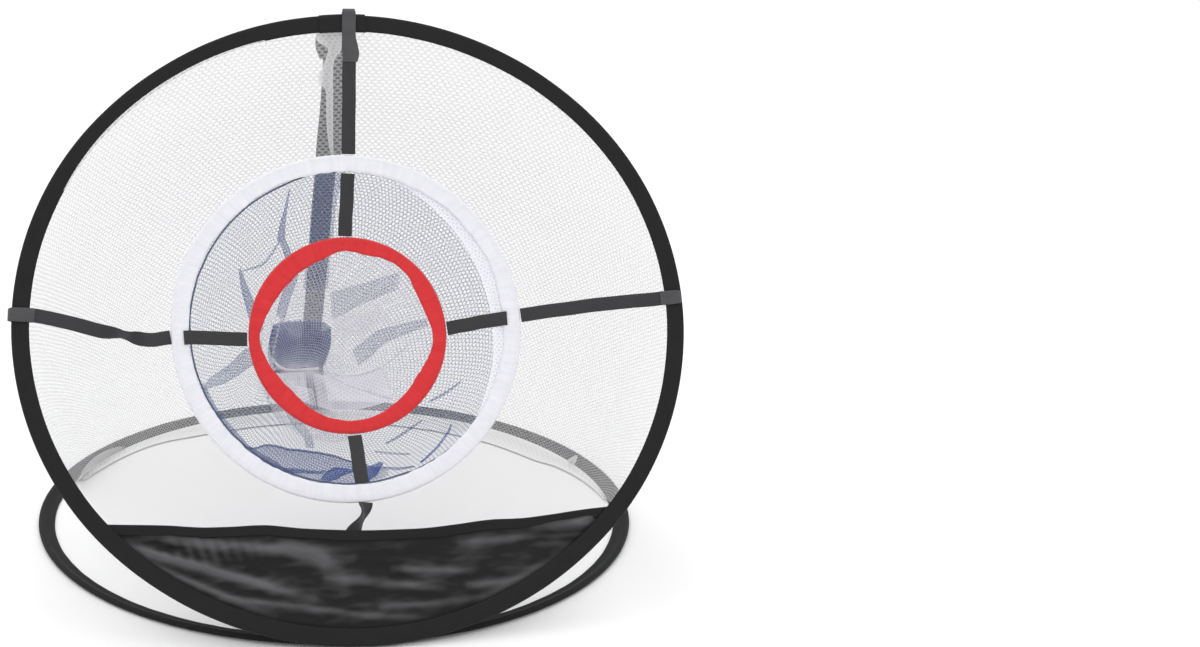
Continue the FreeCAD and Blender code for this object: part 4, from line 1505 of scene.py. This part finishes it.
def crease(line, width):
    """The two edges of a narrow pleat of this width along a line of (degrees, share). Its width is
    measured as if a degree and a share had one size all over the bag."""
    edges = [], []
    for k, (degrees, share) in enumerate(line):
        a, b = line[max(k - 1, 0)], line[min(k + 1, len(line) - 1)]
        along = Vector(((b[0] - a[0]) * TURN_MM, (b[1] - a[1]) * SHARE_MM)).normalized()
        off = Vector((-along.y / TURN_MM, along.x / SHARE_MM)) * (width / 2)
        taper = 1.0 if 0 < k < len(line) - 1 else 0.3
        edges[0].append((degrees + off.x * taper, share + off.y * taper))
        edges[1].append((degrees - off.x * taper, share - off.y * taper))
    return edges


# %% [markdown]
# A bag's stations give its depth, its shift to the right, its drop, and its width and height as
# shares of the mouth's. Each pleat is listed by its two edges, or by its line and width where it is
# narrow, with places given as degrees round the ring and the share of the way to the sewn end. The
# last number says how close the netting lies in it.

# %% The two bags
BLUE_BAG = dict(
    centre=MIDDLE_CENTRE, mouth=MIDDLE_RADIUS - MIDDLE["width"] + 2.6, length=165.0, steps=6,
    front=MIDDLE["half"] - MIDDLE["tail"] - 0.4, closest=0.38, curl=0.0, folded=0.2,
    stations=[
        (0, 0, 0, 1.0, 1.0), (24, -3, 4, 0.93, 0.95), (52, -9, 14, 0.80, 0.86), (80, -17, 24, 0.62, 0.72),
        (100, -25, 29, 0.44, 0.50), (110, -30, 26, 0.27, 0.24), (114, -33, 21, 0.17, 0.02),
        (111, -31, 2, 0.20, 0.05), (107, -29, -15, 0.19, 0.05), (103, -31, 0, 0.20, 0.04),
        (99, -32, 18, 0.16, 0.01),
    ],
    pleats=[
        ([(108.2, 0.11), (109.6, 0.225), (111.6, 0.303), (112.8, 0.375)],
         [(107.6, 0.11), (108.2, 0.234), (108.7, 0.314), (108.6, 0.388)], 0.9),
        ([(111.7, 0.374), (109.3, 0.435), (105.3, 0.545), (110.1, 0.612), (115.6, 0.685)],
         [(108.5, 0.377), (104.6, 0.448), (98.3, 0.555), (102.5, 0.643), (108.3, 0.729)], 0.8),
        ([(136.1, 0.355), (138.2, 0.452), (139.0, 0.54), (139.7, 0.61), (140.0, 0.70)],
         [(135.0, 0.355), (133.9, 0.465), (132.4, 0.544), (131.5, 0.606), (130.0, 0.70)], 0.8),
        ([(197.5, 0.21), (181.0, 0.455), (168.2, 0.59), (149.7, 0.69), (136.6, 0.736)],
         [(198.8, 0.20), (186.7, 0.472), (176.5, 0.638), (164.2, 0.755), (151.9, 0.84)], 0.45),
        ([(219.3, 0.353), (230.1, 0.622), (263.2, 0.688), (286.8, 0.643), (298.8, 0.509), (299.0, 0.392)],
         [(215.0, 0.20), (226.0, 0.28), (238.0, 0.36), (257.0, 0.44), (275.0, 0.42), (292.0, 0.30)], 0.65),
        ([(44.8, 0.41), (53.6, 0.506), (64.4, 0.575), (72.4, 0.612)],
         [(39.1, 0.457), (46.2, 0.559), (54.9, 0.653), (61.2, 0.705)], 0.3),
        ([(18.4, 0.405), (24.3, 0.515), (29.3, 0.612), (27.7, 0.735)],
         [(15.7, 0.421), (18.0, 0.523), (18.9, 0.609), (11.1, 0.736)], 0.4),
        ([(247.2, 0.831), (255.3, 0.785), (266.5, 0.745), (267.5, 0.702)],
         [(267.5, 0.84), (270.1, 0.793), (276.1, 0.746), (274.8, 0.699)], 0.45),
        ([(121.1, 0.713), (107.3, 0.73), (87.8, 0.753), (64.6, 0.771)],
         [(126.6, 0.84), (116.6, 0.961), (81.4, 0.99), (30.0, 0.95)], 0.6),
        ([(98.3, 0.03), (97.3, 0.20), (96.4, 0.306), (95.1, 0.406), (94.6, 0.504), (92.9, 0.612)],
         [(87.5, 0.03), (87.4, 0.209), (85.9, 0.311), (83.3, 0.407), (80.0, 0.503), (74.6, 0.603)], 0.35),
        ([(196.0, 0.17), (207.0, 0.24), (218.0, 0.38), (236.0, 0.49), (252.0, 0.50)],
         [(193.5, 0.27), (203.6, 0.36), (216.3, 0.485), (236.9, 0.56), (252.0, 0.55)], 0.9),
    ],
    creases=[
        ([(111.5, 0.375), (116.5, 0.42), (123.0, 0.433), (134.7, 0.38)], 1.8, 0.5),
        ([(223.0, 0.25), (231.0, 0.45), (252.0, 0.555), (276.0, 0.575)], 6.0, 1.1),
        ([(268.0, 0.50), (275.0, 0.53), (283.0, 0.55), (291.0, 0.52)], 11.0, 1.3),
        ([(284.0, 0.36), (290.0, 0.42), (297.0, 0.47), (303.0, 0.46)], 13.0, 1.4),
        ([(219.3, 0.353), (230.1, 0.622), (263.2, 0.688), (286.8, 0.643), (298.8, 0.509)], 1.8, 1.3),
        ([(299.6, 0.444), (298.8, 0.325), (297.1, 0.159)], 2.6, 0.8),
        ([(315.3, 0.521), (323.2, 0.469), (329.8, 0.42)], 2.8, 0.7),
        ([(300.7, 0.184), (310.6, 0.20), (322.9, 0.229)], 2.8, 0.9),
        ([(339.4, 0.419), (341.6, 0.356), (344.4, 0.284)], 2.4, 0.7),
        ([(308.5, 0.54), (310.2, 0.46), (309.1, 0.354)], 2.2, 0.5),
    ],
)
WHITE_BAG = dict(
    centre=INNER_CENTRE, mouth=INNER_RADIUS - INNER["width"] + 4.2, length=120.0, steps=5,
    front=INNER["half"] - INNER["tail"] - 0.4, closest=0.5, curl=9.0, folded=0.1,
    stations=[
        (0, 0, 0, 1.0, 1.0), (14, -3, 6, 0.96, 0.97), (33, -10, 18, 0.84, 0.88), (51, -18, 26, 0.68, 0.70),
        (64, -29, 26, 0.47, 0.42), (70, -37, 17, 0.27, 0.01),
    ],
    pleats=[
        ([(306.0, 0.973), (346.9, 0.903), (366.6, 0.718), (367.2, 0.583)],
         [(287.9, 0.835), (305.0, 0.774), (324.7, 0.639), (333.6, 0.47)], 1.0),
        ([(233.2, 0.969), (260.7, 0.925), (292.8, 0.902)],
         [(245.9, 0.906), (266.4, 0.864), (287.9, 0.835)], 0.8),
        ([(74.7, 0.623), (60.9, 0.54), (44.5, 0.388)], [(59.2, 0.731), (44.3, 0.603), (33.8, 0.418)], 0.45),
    ],
    creases=[
        ([(330.0, 0.40), (345.0, 0.70), (352.0, 0.95)], 3.0, 0.6),
        ([(10.0, 0.35), (5.0, 0.65), (0.0, 0.95)], 3.0, 0.6),
        ([(205.0, 0.35), (200.0, 0.65), (190.0, 0.95)], 2.6, 0.6),
        ([(130.0, 0.35), (140.0, 0.65), (165.0, 0.95)], 2.6, 0.4),
    ],
)


def fold_to_mouth(piece, bag):
    """Gives a piece of a bag its own copy of its mesh. It works out where the bag's mouth lies, but
    nothing uses that.
    """
    mouth = leaned(bag["centre"] + Vector((0, 0, bag["front"])))
    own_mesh(piece)


def hang_bag(name, bag, sides, rows, finish, ring, node):
    """Knits a bag, lays its pleats on it and hangs it in its ring."""
    def place(degrees, share):
        return on_bag(bag, degrees, share)

    piece = knit_bag(name, bag, sides, rows)
    pleats = [lay_pleat(place, edges, 0.9, crowd) for *edges, crowd in bag["pleats"]]
    pleats += [lay_pleat(place, crease(line, width), 1.5, crowd) for line, width, crowd in bag["creases"]]
    join_to(piece, pleats)
    smooth(piece, 180.0)
    stand_up(piece)
    hand_over(piece, finish, ring, node)
    fold_to_mouth(piece, bag)


hang_bag("blue_bag", BLUE_BAG, 360, 70, blue_net, "middle_ring", "middle_bag_net")
hang_bag("white_bag", WHITE_BAG, 240, 36, white_bag_net, "inner_ring", "inner_bag_net")

# %% [markdown]
# The flat ends of the bags are turned over and sewn, so each ends in a thin roll.

# %% Sewn ends of the bags
def sewn_end(name, bag, body, finish, width, lift):
    stations = []
    for k in range(9):
        degrees = 180.0 - 180.0 * k / 8
        spot = bag_spot(bag, degrees, 1.0)
        sag = 1.0 - abs(k / 4 - 1.0) ** 2
        stations.append((spot + Vector((0.0, -1.5 * sag, lift)), Vector((0.0, 1.0, 0.3))))
    stray = wandering((0.5, 0.12, 0.0, 3.0), (0.4, 0.1, 1.0, 6.0))
    piece = laid_strip(name, stations, width, (36, 3), 1.4, stray, edge=0.5)
    stand_up(piece)
    hand_over(piece, finish, body)
    fold_to_mouth(piece, bag)


rolled_net = tape_finish("rolled_blue_net", shade(52, 62, 84), shade(96, 106, 134), rib=0.0012, sheen=0.1)
sewn_end("blue_bag_end", BLUE_BAG, "middle_ring", rolled_net, width=2.6, lift=1.0)
sewn_end("white_bag_end", WHITE_BAG, "inner_ring", white_tape, width=2.2, lift=0.5)

# %% [markdown]
# Where the blue bag is sewn to the white ring its edge is rolled up tight, which shows as a thin dark
# line along the inside of the ring. At the right the roll is hidden behind the tape.

# %% Rolled edge of the blue bag
ROLL_RADIUS = 0.7
ROLL_HEIGHT = MIDDLE["half"] - 0.8
bpy.ops.object.select_all(action="DESELECT")
bpy.ops.mesh.primitive_torus_add(
    major_radius=(MIDDLE_RADIUS - MIDDLE["width"] - 1.0) * MM, minor_radius=ROLL_RADIUS * MM,
    major_segments=220, minor_segments=8,
)
rolled_edge = settle("rolled_edge")
flat_map(rolled_edge)


def roll(point, index):
    turn = math.atan2(point.y, point.x)
    hidden = 3.0 * max(0.0, math.cos(turn - 0.35)) ** 0.5
    wander = 0.4 * ring_noise(turn / math.tau, 60, 3.0) - hidden
    inward = -heading(turn) * (wander * MM)
    return point + inward + (MIDDLE_CENTRE + Vector((0, 0, ROLL_HEIGHT - 0.5 * hidden))) * MM


move_points(rolled_edge, roll)
smooth(rolled_edge, 80.0)
stand_up(rolled_edge)
hand_over(rolled_edge, rolled_net, "middle_ring", "middle_bag_binding")

# %% [markdown]
# The white ring has a net backing as well. At the right it is wider than the tape, and shows beside
# it as a pale mesh.

# %% Net backing of the white ring
def on_backing(degrees, inset):
    return on_ring(MIDDLE_CENTRE, MIDDLE_RADIUS - inset, degrees, 0.3), UP


backing_edges = (
    [(degrees, 12.0) for degrees in (70, 52, 34, 16, -2, -20, -38)],
    [(70, 14.5), (52, 20.0), (34, 23.0), (16, 24.0), (-2, 22.5), (-20, 19.0), (-38, 14.8)],
)
backing = lay_pleat(on_backing, backing_edges, 0.1, 1.3, rows=150)
backing.name = "ring_backing"
smooth(backing, 60.0)
stand_up(backing)
hand_over(backing, white_bag_net, "middle_ring")

# %% [markdown]
# Three short tapes in the crook of the jaw sew the two black sleeves together.

# %% Tapes at the fold
def crook_stations(x):
    """A tape's route over the base sleeve's ramp, the two wires' crook and the front sleeve's ramp."""
    base_y = -math.sqrt((BASE_RADIUS - 8.0) ** 2 - x ** 2)
    on_base = Vector((x, base_y, 2 * HOOP["half"] - 3.2))
    near_base = Vector((x, base_y - 4.0, 2 * HOOP["half"] + 0.1))
    angle = 270.0 + math.degrees(x / TOP_ARC_RADIUS)
    low = on_arcs(OVAL, angle, 4.2)
    high = on_arcs(OVAL, angle, 8.4)
    near_front = leaned(Vector((x, low.y, -2.9))) / MM
    on_front = leaned(Vector((x, high.y, -0.1))) / MM
    return [on_base, near_base, near_front, on_front]


TAB_WIDTH = 12.0
tabs = []
for x in (-18.0, 0.0, 18.0):
    stations = [(spot, sideways) for spot in crook_stations(x)]
    tabs.append(laid_strip("tab", stations, TAB_WIDTH, (14, 4), 0.6, edge=0.15))
fold_tapes = tabs[0]
join_to(fold_tapes, tabs[1:])
fold_tapes.name = "fold_tapes"
hand_over(fold_tapes, black_tape, "base", "hinge_tabs")

# %% [markdown]
# The studio: a floor that is nearly pure white, a large soft light overhead and an even white
# surround.

# %% Floor and light
bpy.ops.object.select_all(action="DESELECT")
bpy.ops.mesh.primitive_plane_add(size=30, location=(0, 0, -0.0005))
floor = settle("studio_floor")
floor_paint = Finish("studio_floor_paint", Roughness=0.9)
floor_place = floor_paint.read("Object")
floor_paint.feed("Base Color", floor_place.specks(0.4, 1.0).tint((0.89, 0.89, 0.89), (0.91, 0.91, 0.91)))
floor_paint.put_on(floor)

world = bpy.data.worlds.new("studio")
bpy.context.scene.world = world
world.use_nodes = True
surround = world.node_tree.nodes["Background"]
surround.inputs["Color"].default_value = (1.0, 1.0, 1.0, 1.0)
direction = Wire(world.node_tree, world.node_tree.nodes.new("ShaderNodeTexCoord").outputs["Generated"])
sky = direction.part("Z").larger(0.0) * 0.9 + 0.58
world.node_tree.links.new(sky.socket, surround.inputs["Strength"])
bpy.context.scene.view_settings.view_transform = "Standard"
print("view transform:", bpy.context.scene.view_settings.view_transform)

LAMP_PLACE = Vector((-0.5, 0.2, 2.2))
LAMP_TARGET = Vector((0, 0, 0.1))
lamp_data = bpy.data.lights.new("overhead", "AREA")
lamp_data.energy = 7.0
lamp_data.size = 1.6
lamp = bpy.data.objects.new("overhead", lamp_data)
lamp.location = LAMP_PLACE
lamp.rotation_euler = (LAMP_TARGET - LAMP_PLACE).to_track_quat("-Z", "Y").to_euler()
bpy.context.scene.collection.objects.link(lamp)
